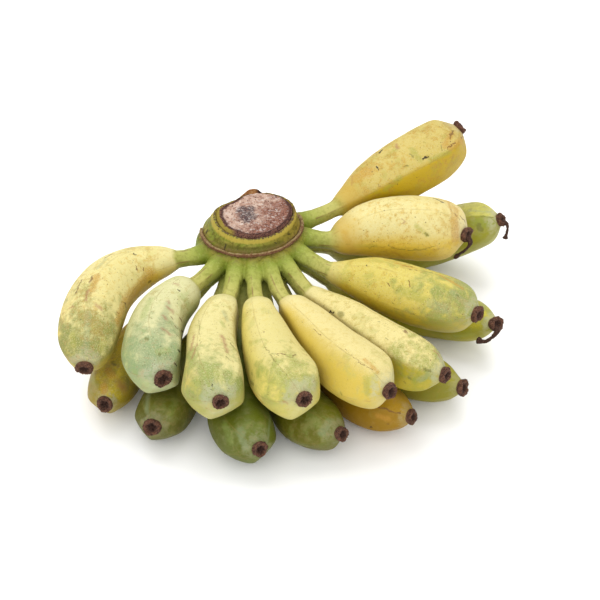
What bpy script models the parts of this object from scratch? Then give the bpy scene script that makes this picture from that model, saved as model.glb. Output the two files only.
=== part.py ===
"""A hand of bananas, as cut from its bunch and stood on a table.

Two rows of fingers fan out from one crown. The upper row lies in the grooves of the lower
row, whose bellies rest on the table at Z = 0. The crown carries the stalk roots, and its
cut face looks up. Each finger is one fruit with its own stalk, and ends in a dried
blossom end. Lengths in the tables are millimetres, angles are degrees, X is right,
-Y is towards the front of the fan and Z is up.
"""

import math
from collections import namedtuple

import bmesh
import bpy
import numpy as np
from mathutils import Matrix, Vector

MM = 0.001

# Where the crown stands, so that the origin is the middle of the hand's footprint.
CROWN_AT = np.array([-30.5, 30.6, 0.0])

# The crown: an oval cushion, flatter behind, whose flank has its widest place at the rim.
RIM_RADIUS = 32.6
RIM_Z = 76.0
RIM_SHIFT_X = 1.0
CROWN_SIDES = 32
CROWN_FRONT_SHARE = 0.95
CROWN_BACK_SHARE = 0.66
CROWN_SLOPE = 0.045

# The scar along the rim, from the left round the front: its radius, and its half thickness.
SCAR_RADIUS = 33.0
SCAR_THICKNESS = 1.3
SCAR_FIRST_SIDE = 16
SCAR_SIDES = 21

# The cut across the crown's top. The notch is the corner that the knife took off.
CUT_RADIUS = 25.0
CUT_Z = 88.0
CUT_SHIFT_X = 3.0
CUT_DEPTH = 3.5
CUT_TILT = 0.15
CUT_NOTCH = 0.2
CUT_NOTCH_AT = 2.3
CUT_NOTCH_WIDTH = 0.5

# Stalk roots on the crown, for the upper and the lower row.
ROOT_REACH = {"upper": 35.0, "lower": 29.0}
ROOT_Z = {"upper": 67.0, "lower": 55.5}
ROOT_INSIDE = 16.0
STALK_RADIUS = 5.4
ROOT_FLARE = 0.35
ROOT_FLARE_LENGTH = 9.0
STUB_LENGTH = 11.0
STUB_SIDES_PER_RIDGE = 2
FUSED_LENGTH = 6.0
FUSED_OVERLAP = 1.0

# The fruit.
RIDGES = 5
SIDES_PER_RIDGE = 4
FRUIT_RINGS = 13
STALK_RINGS = 3
STUB_RINGS = 4
RIDGE_UNEVENNESS = 7.0
TIP_RADIUS = 4.6
AXIS_SAMPLES = 160
GAP = 0.3
PRESS_MARGIN = 0.32
PRESS_ROUNDING = 1.2
PRESS_PASSES = 3
LEAST_RADIUS = 1.5
SQUASHED_BELOW = 1.3

# The fruit's girth as a share of its fullest radius, from its neck (0) to its blossom end
# (1): first how it swells from a slender and from a round neck, then how it closes.
NECK_AT = (0.0, 0.05, 0.12, 0.24, 0.42, 0.62, 1.0)
SLENDER_NECK = np.array([0.29, 0.36, 0.50, 0.76, 0.95, 1.0, 1.0])
ROUND_NECK = np.array([0.29, 0.54, 0.67, 0.79, 0.91, 1.0, 1.0])
END_AT = (0.0, 0.62, 0.78, 0.89, 0.955, 1.0)
TAPERED_END = np.array([1.0, 1.0, 0.94, 0.76, 0.50, 0.24])
BLUNT_END = np.array([1.0, 1.0, 0.99, 0.90, 0.66, 0.24])

# The dried blossom end: radius and height along the finger's axis, from its top middle.
BLOSSOM_PROFILE = (
    (0.0, 2.6),
    (2.8, 3.0),
    (4.2, 4.2),
    (5.4, 3.4),
    (5.7, 1.4),
    (4.7, 0.0),
    (0.0, 0.0),
)
BLOSSOM_SIDES = 12
STYLE_RADIUS = 1.3

# row: upper or lower. root: where the stalk leaves the crown, as an angle from +X.
# radius: the fullest. shoulder: 0 slender, 1 round. blunt: 0 tapered, 1 blunt.
# turn: the angle of the first ridge. axis: the centre line's neck, points along the body
# and blossom end, from the foot of the crown.
Finger = namedtuple("Finger", "row root radius shoulder blunt turn axis")

FINGERS = {
    "upper_1": Finger(
        "upper", 208, 20.4, 0.4, 0.4, 60,
        ((-46, -22, 66), (-70, -25, 61.5), (-88, -42, 60), (-96, -72, 57), (-97, -109, 53)),
    ),
    "upper_2": Finger(
        "upper", 235, 20.2, 0.95, 1.0, 80,
        ((-34, -45, 63), (-49, -59, 58), (-57, -86, 54), (-49, -124, 58)),
    ),
    "upper_3": Finger(
        "upper", 257, 20.6, 0.95, 0.95, 55,
        ((-12, -56, 61), (-18, -72, 56), (-21, -112, 53), (-14, -145, 59)),
    ),
    "upper_4": Finger(
        "upper", 275, 20.8, 0.95, 0.95, 70,
        ((5, -58, 61), (9, -77, 56), (21, -117, 53), (34, -143, 59)),
    ),
    "upper_5": Finger(
        "upper", 291, 20.0, 0.9, 0.9, 40,
        ((22, -58, 61), (34, -72, 56), (62, -109, 52), (84, -132, 55)),
    ),
    "upper_6": Finger(
        "upper", 308, 18.6, 0.4, 0.75, 62,
        ((37, -46, 59), (57, -65, 53), (89, -94, 49.5), (118, -113, 50)),
    ),
    "upper_7": Finger(
        "upper", 329, 19.3, 0.15, 0.55, 50,
        ((50, -28, 62), (71, -32, 58), (113, -49, 54), (135, -58, 54), (142, -63, 55)),
    ),
    "upper_8": Finger(
        "upper", 356, 22.0, 0.5, 0.6, 75,
        ((53, -3, 67), (73, 6, 67), (112, 11, 66), (133, 7, 66), (140, 3, 67)),
    ),
    "upper_9": Finger(
        "upper", 383, 21.3, 0.2, 0.8, 35,
        ((57, 27, 71), (78, 41, 76), (115.5, 65, 84.5), (136, 83, 90.5), (141, 86, 94.5)),
    ),
    "lower_1": Finger(
        "lower", 222, 16.6, 0.35, 0.0, 50,
        ((-42, -38, 41), (-62, -47, 28), (-82, -73, 15.9), (-87, -111, 24)),
    ),
    "lower_2": Finger(
        "lower", 246, 17.5, 0.6, 0.5, 70,
        ((-25, -54, 38), (-35, -70, 25), (-50, -107, 16.8), (-56, -132, 25)),
    ),
    "lower_3": Finger(
        "lower", 266, 19.8, 0.6, 0.5, 54,
        ((-5, -58, 38), (-6, -76, 27), (-5, -117, 18.8), (8, -151, 26)),
    ),
    "lower_4": Finger(
        "lower", 283, 18.5, 0.6, 0.45, 66,
        ((14, -56, 38), (19, -72, 26), (34, -114, 17.5), (56, -138, 25)),
    ),
    "lower_5": Finger(
        "lower", 300, 17.6, 0.5, 0.1, 80,
        ((30, -49, 38), (43, -66, 26), (69, -95, 16.4), (99, -122, 23.5)),
    ),
    "lower_6": Finger(
        "lower", 318, 16.8, 0.5, 0.0, 55,
        ((42, -36, 39), (60, -47, 27), (98, -72, 15.9), (132, -97, 24)),
    ),
    "lower_7": Finger(
        "lower", 342, 16.6, 0.4, 0.0, 68,
        ((52, -14, 42), (74, -15, 28), (116, -16, 15.8), (158, -44, 30)),
    ),
    "lower_8": Finger(
        "lower", 369, 19.2, 0.3, 1.0, 58,
        ((54, 16, 46), (76, 35, 27), (104, 53, 16.4), (147, 51, 34.5), (169, 45, 47)),
    ),
}

# Withered styles still hanging from three blossom ends: points from the blossom end's
# middle, upwards, to the finger's right and outwards along it.
STYLES = {
    "upper_8": ((-1, 0, 2), (-4, 1, 5), (-9, 2, 3), (-13, 3, -1), (-18, 3, -6)),
    "lower_7": ((-1, 1, 2), (-3, 3, 4), (-6, 7, 2), (-8, 10, -3), (-6, 12, -7)),
    "lower_8": ((-1, 0, 2), (-4, 2, 5), (-9, 3, 3), (-13, 5, 0)),
}

GREEN = (0.42, 0.53, 0.12, 1.0)
PALE_YELLOW = (0.85, 0.72, 0.25, 1.0)
LEAF_GREEN = (0.38, 0.47, 0.10, 1.0)
SCAR_BROWN = (0.22, 0.13, 0.06, 1.0)
DARK_BROWN = (0.10, 0.05, 0.04, 1.0)
CUT_BROWN = (0.33, 0.19, 0.14, 1.0)


def clear_scene():
    for obj in list(bpy.data.objects):
        bpy.data.objects.remove(obj, do_unlink=True)


def new_collection(name):
    collection = bpy.data.collections.new(name)
    bpy.context.scene.collection.children.link(collection)
    return collection


def material(name, colour, roughness):
    made = bpy.data.materials.new(name)
    made.use_nodes = True
    shader = made.node_tree.nodes["Principled BSDF"]
    shader.inputs["Base Color"].default_value = colour
    shader.inputs["Roughness"].default_value = roughness
    shader.inputs["Metallic"].default_value = 0.0
    made.diffuse_color = colour
    return made


def smoothstep(x, low, high):
    t = np.clip((x - low) / (high - low), 0.0, 1.0)
    return t * t * (3 - 2 * t)


def blend(a, b, share):
    return a * (1 - share) + b * share


def spline(knots, values, at):
    """Natural cubic spline through values at knots, read at the places given."""
    knots = np.asarray(knots, float)
    values = np.asarray(values, float)
    at = np.asarray(at, float)
    n = len(knots)
    step = np.diff(knots)
    slope = np.diff(values, axis=0) / (step[:, None] if values.ndim > 1 else step)
    system = np.eye(n)
    right = np.zeros_like(values)
    for i in range(1, n - 1):
        system[i, i - 1 : i + 2] = step[i - 1], 2 * (step[i - 1] + step[i]), step[i]
        right[i] = 6 * (slope[i] - slope[i - 1])
    bend = np.linalg.solve(system, right)
    k = np.clip(np.searchsorted(knots, at, side="right") - 1, 0, n - 2)
    h = step[k]
    a = (knots[k + 1] - at) / h
    b = (at - knots[k]) / h
    c = (a**3 - a) * h**2 / 6
    d = (b**3 - b) * h**2 / 6
    if values.ndim > 1:
        a, b, c, d = (x[:, None] for x in (a, b, c, d))
    return a * values[k] + b * values[k + 1] + c * bend[k] + d * bend[k + 1]


class Axis:
    """A finger's centre line, with its nominal radius, read by arc length from the root."""

    def __init__(self, finger):
        angle = math.radians(finger.root)
        out = np.array([math.cos(angle), math.sin(angle), math.cos(angle) * CROWN_SLOPE])
        root = out * ROOT_REACH[finger.row] + (0, 0, ROOT_Z[finger.row])
        inside = out * (ROOT_REACH[finger.row] - ROOT_INSIDE) + (0, 0, ROOT_Z[finger.row])
        points = np.array([inside, root, *finger.axis], float)
        chord = np.concatenate([[0.0], np.cumsum(np.linalg.norm(np.diff(points, axis=0), axis=1))])
        fine = np.linspace(0, chord[-1], AXIS_SAMPLES * 4)
        line = spline(chord, points, fine)
        run = np.concatenate([[0.0], np.cumsum(np.linalg.norm(np.diff(line, axis=0), axis=1))])
        self.finger = finger
        self.run, self.line = run, line
        self.root_at = np.interp(chord[1], fine, run)
        self.neck_at = np.interp(chord[2], fine, run)
        self.length = run[-1]
        self.samples = np.linspace(0, self.length, AXIS_SAMPLES)
        self.sample_points = self.point(self.samples)
        self.sample_radii = self.radius(self.samples)

    def point(self, s):
        return np.stack([np.interp(s, self.run, self.line[:, k]) for k in range(3)], -1)

    def frames(self, s):
        """Unit vectors along the axis, to its right and upwards, at each place."""
        ahead = self.point(np.minimum(s + 1.0, self.length)) - self.point(np.maximum(s - 1.0, 0))
        along = ahead / np.linalg.norm(ahead, axis=1, keepdims=True)
        right = np.cross(along, (0.0, 0.0, 1.0))
        right /= np.linalg.norm(right, axis=1, keepdims=True)
        return along, right, np.cross(right, along)

    def share(self, s):
        """0 at the neck and 1 at the blossom end."""
        return np.clip((s - self.neck_at) / (self.length - self.neck_at), 0, 1)

    def radius(self, s):
        finger = self.finger
        share = self.share(s)
        neck = spline(NECK_AT, blend(SLENDER_NECK, ROUND_NECK, finger.shoulder), share)
        end = spline(END_AT, blend(TAPERED_END, BLUNT_END, finger.blunt), share)
        fruit = np.maximum(finger.radius * neck * end, TIP_RADIUS)
        past_root = np.maximum(s - self.root_at, 0)
        stalk = STALK_RADIUS * (1 + ROOT_FLARE * np.exp(-past_root / ROOT_FLARE_LENGTH))
        return blend(stalk, fruit, smoothstep(s, self.neck_at - 4.0, self.neck_at + 1.0))


def ridge_angles(finger, generator):
    step = 360.0 / RIDGES
    jitter = generator.uniform(-RIDGE_UNEVENNESS, RIDGE_UNEVENNESS, RIDGES)
    corners = finger.turn + step * np.arange(RIDGES) + jitter
    return np.radians(np.append(corners, corners[0] + 360.0))


def section(corners, sides_per_ridge):
    """Angles round the section, and the ridged outline's radius as a share of the round one."""
    angles = []
    shares = []
    for first, last in zip(corners[:-1], corners[1:]):
        for k in range(sides_per_ridge):
            angle = first + (last - first) * k / sides_per_ridge
            angles.append(angle)
            shares.append(math.cos((last - first) / 2) / math.cos(angle - (first + last) / 2))
    return np.array(angles), np.array(shares)


def pressed(radii, centres, directions, own_radii, others, margin):
    """Shortens radii where a neighbour presses, so that both end at the plane between them."""
    for _ in range(PRESS_PASSES):
        limit = np.full(radii.shape, np.inf)
        places = centres[:, None] + directions * radii[..., None]
        for other in others:
            gaps = places[:, :, None] - other.sample_points
            power = np.einsum("ijkl,ijkl->ijk", gaps, gaps) - other.sample_radii**2
            nearest = np.argmin(power, axis=2)
            towards = other.sample_points[nearest] - centres[:, None]
            distance = np.linalg.norm(towards, axis=2)
            squares = own_radii[:, None] ** 2 - other.sample_radii[nearest] ** 2
            plane = (distance + squares / distance) / 2 - margin[:, None]
            facing = np.einsum("ijk,ijk->ij", directions, towards) / distance
            room = np.where(facing > 0.05, plane / np.maximum(facing, 0.05), np.inf)
            limit = np.minimum(limit, room)
        eased = -PRESS_ROUNDING * np.logaddexp(-radii / PRESS_ROUNDING, -limit / PRESS_ROUNDING)
        radii = np.maximum(np.minimum(eased, limit), LEAST_RADIUS)
    return radii


def rings_of(axis, others, s, corners):
    """Rings of points round one finger. Near the crown, neighbours run together."""
    centres = axis.point(s)
    along, right, up = axis.frames(s)
    own = axis.radius(s)
    rooted = s[0] < axis.root_at
    angles, shares = section(corners, STUB_SIDES_PER_RIDGE if rooted else SIDES_PER_RIDGE)
    share = axis.share(s)
    ridged = 0.12 + 0.16 * smoothstep(share, 0.0, 0.3) + 0.5 * smoothstep(share, 0.62, 0.95)
    ridged = ridged * (1 - smoothstep(share, 0.96, 1.0))
    radii = own[:, None] * (1 + (shares - 1) * ridged[:, None])
    angles = angles[None, :, None]
    directions = np.cos(angles) * right[:, None] + np.sin(angles) * up[:, None]
    fused = rooted & (s < axis.root_at + FUSED_LENGTH)
    margin = np.where(fused, -FUSED_OVERLAP, PRESS_MARGIN)
    radii = pressed(radii, centres, directions, own, others, margin)
    points = centres[:, None] + directions * radii[..., None]
    points[..., 2] = np.where(points[..., 2] < SQUASHED_BELOW, 0.0, points[..., 2])
    return points


def loft(name, rings, parent, collection, look):
    """A closed body through rings of points, with a fan over each end."""
    mesh = bmesh.new()
    made = [[mesh.verts.new(point * MM) for point in ring] for ring in rings]
    count = len(made[0])
    for lower, upper in zip(made[:-1], made[1:]):
        for k in range(count):
            n = (k + 1) % count
            mesh.faces.new((lower[k], lower[n], upper[n], upper[k]))
    for ring in (made[0], made[-1]):
        middle = mesh.verts.new(sum((v.co for v in ring), Vector()) / count)
        for k in range(count):
            mesh.faces.new((ring[k], ring[(k + 1) % count], middle))
    bmesh.ops.recalc_face_normals(mesh, faces=mesh.faces)
    data = bpy.data.meshes.new(name)
    mesh.to_mesh(data)
    mesh.free()
    data.shade_smooth()
    data.materials.append(look)
    return placed(name, data, parent, collection)


def placed(name, data, parent, collection):
    obj = bpy.data.objects.new(name, data)
    obj.parent = parent
    collection.objects.link(obj)
    return obj


def fruit_places(axis):
    """Where the rings stand along a finger, from the end of its root stub to its blossom end."""
    stalk = np.linspace(axis.root_at + STUB_LENGTH + GAP / 2, axis.neck_at - 2.0, STALK_RINGS)
    share = np.linspace(0, 1, FRUIT_RINGS)
    closer_at_ends = share - 0.035 * np.sin(2 * np.pi * share)
    return np.concatenate([stalk, axis.neck_at + (axis.length - axis.neck_at) * closer_at_ends])


def build():
    clear_scene()
    hand = new_collection("banana_hand")
    helpers = new_collection("joined_shapes")
    foot = bpy.data.objects.new("crown_foot", None)
    foot.location = CROWN_AT * MM
    hand.objects.link(foot)
    generator = np.random.default_rng(7)
    axes = {name: Axis(finger) for name, finger in FINGERS.items()}
    peel = {
        "upper": material("pale_yellow_peel", PALE_YELLOW, 0.5),
        "lower": material("green_peel", LEAF_GREEN, 0.5),
    }
    crown_look = material("crown_green", GREEN, 0.5)
    brown = material("dried_blossom", DARK_BROWN, 0.85)
    for name, axis in axes.items():
        others = [other for key, other in axes.items() if key != name]
        corners = ridge_angles(axis.finger, generator)
        stub = np.linspace(0.5, axis.root_at + STUB_LENGTH - GAP / 2, STUB_RINGS)
        loft("root_" + name, rings_of(axis, others, stub, corners), foot, helpers, crown_look)
        rings = rings_of(axis, others, fruit_places(axis), corners)
        loft("finger_" + name, rings, foot, hand, peel[axis.finger.row])
    crown(foot, hand, helpers, crown_look)
    scar_ring(foot, hand, material("scar_tissue", SCAR_BROWN, 0.8))
    cut_face(foot, hand, material("dried_cut", CUT_BROWN, 0.95))
    for name, axis in axes.items():
        blossom_end(name, axis, foot, hand, helpers, brown)


# Radius and height of the crown's flank, from its underside to the floor of the cut, and how
# much further it bulges in front, as an apron over the roots of the stalks.
CROWN_FLANK = (
    (9.0, 47.0, 0.0),
    (20.0, 50.0, 0.0),
    (27.0, 57.0, 1.0),
    (30.0, 62.0, 4.5),
    (31.5, 66.5, 6.0),
    (32.3, 70.5, 4.0),
    (RIM_RADIUS, RIM_Z - 2.4, 0.8),
    (RIM_RADIUS - 0.8, RIM_Z - 1.2, 0.0),
    (RIM_RADIUS - 1.25, RIM_Z, 0.0),
    (RIM_RADIUS - 0.9, RIM_Z + 1.1, 0.0),
    (RIM_RADIUS - 3.0, RIM_Z + 4.2, 0.0),
    (CUT_RADIUS + 2.3, CUT_Z - 1.6, 0.0),
    (CUT_RADIUS + 1.2, CUT_Z + 0.3, 0.0),
    (CUT_RADIUS, CUT_Z, 0.0),
)


def crown_ring(radius, z, apron=0.0, raised=0.0):
    """One ring of the crown: an oval, flatter behind, that slopes up to the right. As it rises
    it shifts, tilts up at the back and loses the corner that the knife took off."""
    high = smoothstep(z, RIM_Z, CUT_Z)
    angles = np.linspace(0, 2 * np.pi, CROWN_SIDES, endpoint=False)
    radius = radius + apron * smoothstep(-np.sin(angles), -0.45, 0.2)
    radius *= 1 - CUT_NOTCH * high * np.exp(-(((angles - CUT_NOTCH_AT) / CUT_NOTCH_WIDTH) ** 2))
    x = radius * np.cos(angles) + blend(RIM_SHIFT_X, CUT_SHIFT_X, high)
    share = np.where(np.sin(angles) > 0, CROWN_BACK_SHARE, CROWN_FRONT_SHARE)
    y = radius * share * np.sin(angles)
    return np.stack([x, y, z + x * CROWN_SLOPE + y * CUT_TILT * high + raised], -1)


def crown(foot, hand, helpers, look):
    """The cushion that all stalks grow from, joined to the roots of the stalks."""
    rings = [crown_ring(radius, z, apron) for radius, z, apron in CROWN_FLANK]
    rings.append(crown_ring(CUT_RADIUS, CUT_Z, raised=-CUT_DEPTH))
    body = loft("crown", rings, foot, hand, look)
    roots = list(helpers.objects)
    join = body.modifiers.new("join_roots", "BOOLEAN")
    join.operation = "UNION"
    join.operand_type = "COLLECTION"
    join.collection = helpers
    join.solver = "EXACT"
    bpy.context.view_layer.update()
    graph = bpy.context.evaluated_depsgraph_get()
    joined = bpy.data.meshes.new_from_object(body.evaluated_get(graph))
    body.modifiers.clear()
    body.data = joined
    for obj in roots:
        bpy.data.objects.remove(obj, do_unlink=True)


def scar_ring(foot, hand, look):
    """The corky scar that a fallen bract left round the crown's front, sunk in a groove."""
    curve = bpy.data.curves.new("scar_ring", "CURVE")
    curve.dimensions = "3D"
    curve.bevel_depth = SCAR_THICKNESS * MM
    curve.bevel_resolution = 2
    curve.use_fill_caps = True
    places = np.roll(crown_ring(SCAR_RADIUS, RIM_Z), -SCAR_FIRST_SIDE, axis=0)[:SCAR_SIDES]
    line = curve.splines.new("POLY")
    line.points.add(len(places) - 1)
    for point, co in zip(line.points, places):
        point.co = (*(co * MM), 1.0)
    curve.materials.append(look)
    placed("scar_ring", curve, foot, hand)


# Radius as a share of the cut's, and height from the cut's edge, of the dried tissue in it.
CUT_FACE = ((1.0, GAP - CUT_DEPTH), (1.0, -0.7), (0.93, 0.6), (0.7, 1.2), (0.4, 1.6), (0.12, 1.8))


def cut_face(foot, hand, look):
    """The dried, slightly domed tissue where the hand was cut from its bunch."""
    radius = CUT_RADIUS - GAP
    rings = [crown_ring(radius * share, CUT_Z, raised=height) for share, height in CUT_FACE]
    loft("cut_face", rings, foot, hand, look)


def blossom_end(name, axis, foot, hand, helpers, look):
    """The dark, cupped scar at a finger's end, turned about the finger's axis."""
    end = np.array([axis.length])
    along, right, up = (Vector(v[0]) for v in axis.frames(end))
    place = Matrix((up, right, along)).transposed().to_4x4()
    place.translation = (Vector(axis.point(end)[0]) + along * GAP) * MM
    edges = [(k, k + 1) for k in range(len(BLOSSOM_PROFILE) - 1)]
    data = bpy.data.meshes.new("blossom_end_" + name)
    data.from_pydata([(r * MM, 0, h * MM) for r, h in BLOSSOM_PROFILE], edges, [])
    data.materials.append(look)
    obj = placed("blossom_end_" + name, data, foot, hand)
    obj.matrix_local = place
    screw = obj.modifiers.new("turn", "SCREW")
    screw.steps = screw.render_steps = BLOSSOM_SIDES
    screw.use_merge_vertices = True
    screw.merge_threshold = 0.00001
    screw.use_smooth_shade = True
    if name in STYLES:
        join = obj.modifiers.new("withered_style", "BOOLEAN")
        join.operation = "UNION"
        join.solver = "EXACT"
        join.object = withered_style(name, place, foot, helpers, look)


def withered_style(name, place, foot, helpers, look):
    """A withered strand, made a welded mesh from a thick curve."""
    curve = bpy.data.curves.new("style_" + name, "CURVE")
    curve.dimensions = "3D"
    curve.bevel_depth = STYLE_RADIUS * MM
    curve.bevel_resolution = 1
    curve.use_fill_caps = True
    curve.resolution_u = 2
    points = STYLES[name]
    line = curve.splines.new("BEZIER")
    line.bezier_points.add(len(points) - 1)
    for point, co in zip(line.bezier_points, points):
        point.co = Vector(co) * MM
        point.handle_left_type = point.handle_right_type = "AUTO"
    drawn = placed("style_curve_" + name, curve, foot, helpers)
    drawn.matrix_local = place
    bpy.context.view_layer.update()
    graph = bpy.context.evaluated_depsgraph_get()
    data = bpy.data.meshes.new_from_object(drawn.evaluated_get(graph))
    welded = bmesh.new()
    welded.from_mesh(data)
    bmesh.ops.remove_doubles(welded, verts=welded.verts, dist=0.00001)
    bmesh.ops.recalc_face_normals(welded, faces=welded.faces)
    welded.to_mesh(data)
    welded.free()
    data.materials.append(look)
    style = placed("style_" + name, data, foot, helpers)
    style.matrix_world = drawn.matrix_world
    style.hide_render = True
    style.display_type = "WIRE"
    bpy.data.objects.remove(drawn, do_unlink=True)
    return style


build()
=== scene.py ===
"""Looks for a hand of bananas: peel, stalks, crown, dried cut and blossom ends, floor and light.

Every piece repeats the form of the part's own solids, many times finer, and stands for them.
Lengths are millimetres from the crown's foot until a mesh is made: X is right, -Y is towards
the front of the fan and Z is up from the table.
"""

import math
from collections import namedtuple

import bpy
import numpy as np
from mathutils import Matrix, Vector, noise
from mathutils.bvhtree import BVHTree


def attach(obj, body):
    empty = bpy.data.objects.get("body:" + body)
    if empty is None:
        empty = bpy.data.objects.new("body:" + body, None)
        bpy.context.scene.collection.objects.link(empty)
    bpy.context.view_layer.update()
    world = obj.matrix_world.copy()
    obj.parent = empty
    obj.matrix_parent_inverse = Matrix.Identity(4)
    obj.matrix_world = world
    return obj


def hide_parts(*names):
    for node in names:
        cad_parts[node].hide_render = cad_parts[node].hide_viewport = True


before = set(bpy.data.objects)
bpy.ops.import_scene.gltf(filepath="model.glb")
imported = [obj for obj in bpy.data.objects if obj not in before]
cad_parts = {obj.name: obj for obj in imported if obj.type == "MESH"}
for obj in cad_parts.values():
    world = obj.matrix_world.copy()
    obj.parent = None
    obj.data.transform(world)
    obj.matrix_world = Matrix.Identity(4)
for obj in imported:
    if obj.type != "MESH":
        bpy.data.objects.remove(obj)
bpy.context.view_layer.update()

MM = 0.001

# Where the crown stands.
CROWN_AT = np.array([-30.5, 30.6, 0.0])

# The camera.
CAMERA_ELEVATION = 40.0
CAMERA_LENS = 85.0
SENSOR = 36.0
IMAGE_SIDE = 600
MM_PER_PIXEL = 0.65
CROWN_TOP = np.array([0.0, 0.0, 76.0])
CROWN_PIXEL = (250, 226)

# The crown.
RIM_RADIUS = 32.6
RIM_Z = 76.0
RIM_SHIFT_X = 1.0
SCAR_RADIUS = 33.0
SCAR_THICKNESS = 1.3
CUT_RADIUS = 25.0
CUT_Z = 88.0
CUT_SHIFT_X = 3.0
CUT_DEPTH = 3.5
CUT_TILT = 0.15
CUT_DOME = 1.5
CUT_EDGE = 0.9
CUT_HOLLOW = 1.0
CUT_RINGS = 64
CUT_SIDES = 200
CROWN_SIDES = 120
CROWN_FRONT_SHARE = 0.95
CROWN_BACK_SHARE = 0.66
CUT_NOTCH = 0.2
CUT_NOTCH_AT = 2.3
CUT_NOTCH_WIDTH = 0.5
CROWN_SLOPE = 0.045
CROWN_VOXEL = 0.7
CROWN_SMOOTHING = 10
LEVEL_PASSES = 4

# Stalk roots on the crown, for the upper and the lower row.
ROOT_REACH = {"upper": 35.0, "lower": 29.0}
ROOT_Z = {"upper": 67.0, "lower": 55.5}
ROOT_INSIDE = 16.0
STALK_RADIUS = 5.4
ROOT_FLARE = 0.35
ROOT_FLARE_LENGTH = 9.0
STUB_LENGTH = 11.0
STUB_SIDES = 28
STUB_RINGS = 20
STUB_SWELL = 1.015
SEAM_LENGTH = 6.0
SEAM_STEP = 0.035

# The fruit.
RIDGES = 5
RIDGE_SHARPNESS = 16.0
SECTION_FULLNESS = 1.03
RIDGE_UNEVENNESS = 7.0
RIDGE_WIDTH = 0.16
FINGER_SIDES = 88
FINGER_RINGS = 150
TIP_RADIUS = 4.6
AXIS_SAMPLES = 160
PRESS_MARGIN = 0.12
PRESS_ROUNDING = 1.2
PRESS_PASSES = 3
PRESS_REACH = 8.0
LEAST_FACING = 0.05
FUSED_LENGTH = 10.0
FUSED_OVERLAP = 2.0
LEAST_RADIUS = 1.5
FLOW_RADIUS = 20.0
STALK_RIDGED = 0.5
BODY_RIDGED = 0.30
END_RIDGED = 0.36
LUMPS = ((0.30, 26.0), (0.10, 7.0))
GRADUAL_NECKS = ("upper_8", "upper_9")
STROKE_PIECE = 8.0
STROKE_PLACES = 9
LEAST_LENGTH = 1e-9

# The bract's scar, round the crown from the left by way of the front to the back right.
SCAR_BEARINGS = (180.0, 405.0)
SCAR_RINGS = 320
SCAR_SIDES = 16

# The flake of dried skin at the back of the cut.
FLAKE_LENGTH = 14.0
FLAKE_WIDTH = 3.4
FLAKE_THICKNESS = 0.5
FLAKE_X = 0.5
FLAKE_Y = 15.6
FLAKE_FOOT_Y = 15.0
FLAKE_COLUMNS = 40
FLAKE_ROWS = 14

# The withered styles: half their width at the root and along them, and their twist.
STYLE_ROOT = 2.0
STYLE_RADIUS = 1.0
STYLE_TWIST = 3.5
STYLE_RINGS = 60
STYLE_SIDES = 18
STYLE_DEPTH = 0.7

# Lights as strength, spread, azimuth and elevation. Azimuth is from +X, and 90 is behind.
SUNS = {"key": (1.8, 50, 108, 65), "fill": (1.5, 70, 268, 48)}
SKY_STRENGTH = 0.8
FLOOR_REACH = 3.0
FLOOR_TONE = 0.94

# SHADE dims every piece's colour, so that fruit and white floor are both lit as in the photo.
# A peel counts as light where its top has more red than LIGHT_PEEL, of 255. NECK_LINE is the
# share of the fruit's length where peel takes over from stalk.
SHADE = 0.63
LIGHT_PEEL = 215
NECK_LINE = 0.015

# Small dark nicks in the crown's flank: half width in millimetres, and the bearing in degrees
# and the rise, from rim (0) to cut (1), of their upper and lower ends.
NICKS = (
    (0.9, 196, 0.35, 198, 0.2),
    (0.5, 236, 0.42, 238, 0.1),
    (0.35, 252, 0.5, 253, 0.3),
    (0.4, 300, 0.5, 302, 0.38),
    (0.5, 322, 0.55, 325, 0.45),
)

# The fruit's girth as a share of its fullest radius, from its neck (0) to its blossom end
# (1): first how it swells from a slender and from a round neck, then how it closes.
NECK_AT = (0.0, 0.05, 0.12, 0.24, 0.42, 0.62, 1.0)
SLENDER_NECK = np.array([0.29, 0.36, 0.50, 0.76, 0.95, 1.0, 1.0])
ROUND_NECK = np.array([0.29, 0.54, 0.67, 0.79, 0.91, 1.0, 1.0])
END_AT = (0.0, 0.62, 0.78, 0.89, 0.955, 1.0)
TAPERED_END = np.array([1.0, 1.0, 0.94, 0.76, 0.50, 0.24])
BLUNT_END = np.array([1.0, 1.0, 0.99, 0.90, 0.66, 0.24])

# row: upper or lower. root: where the stalk leaves the crown, as an angle from +X.
# radius: the fullest. shoulder: 0 slender, 1 round. blunt: 0 tapered, 1 blunt.
# turn: the angle of the first ridge. Those of upper_1, 3, 5, 6, 7 and lower_5 are 18 to 34
# degrees from the solids' own, to sit where the photograph shows them. axis: the centre line's
# neck, points along the body and blossom end, from the foot of the crown.
Finger = namedtuple("Finger", "row root radius shoulder blunt turn axis")

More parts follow.
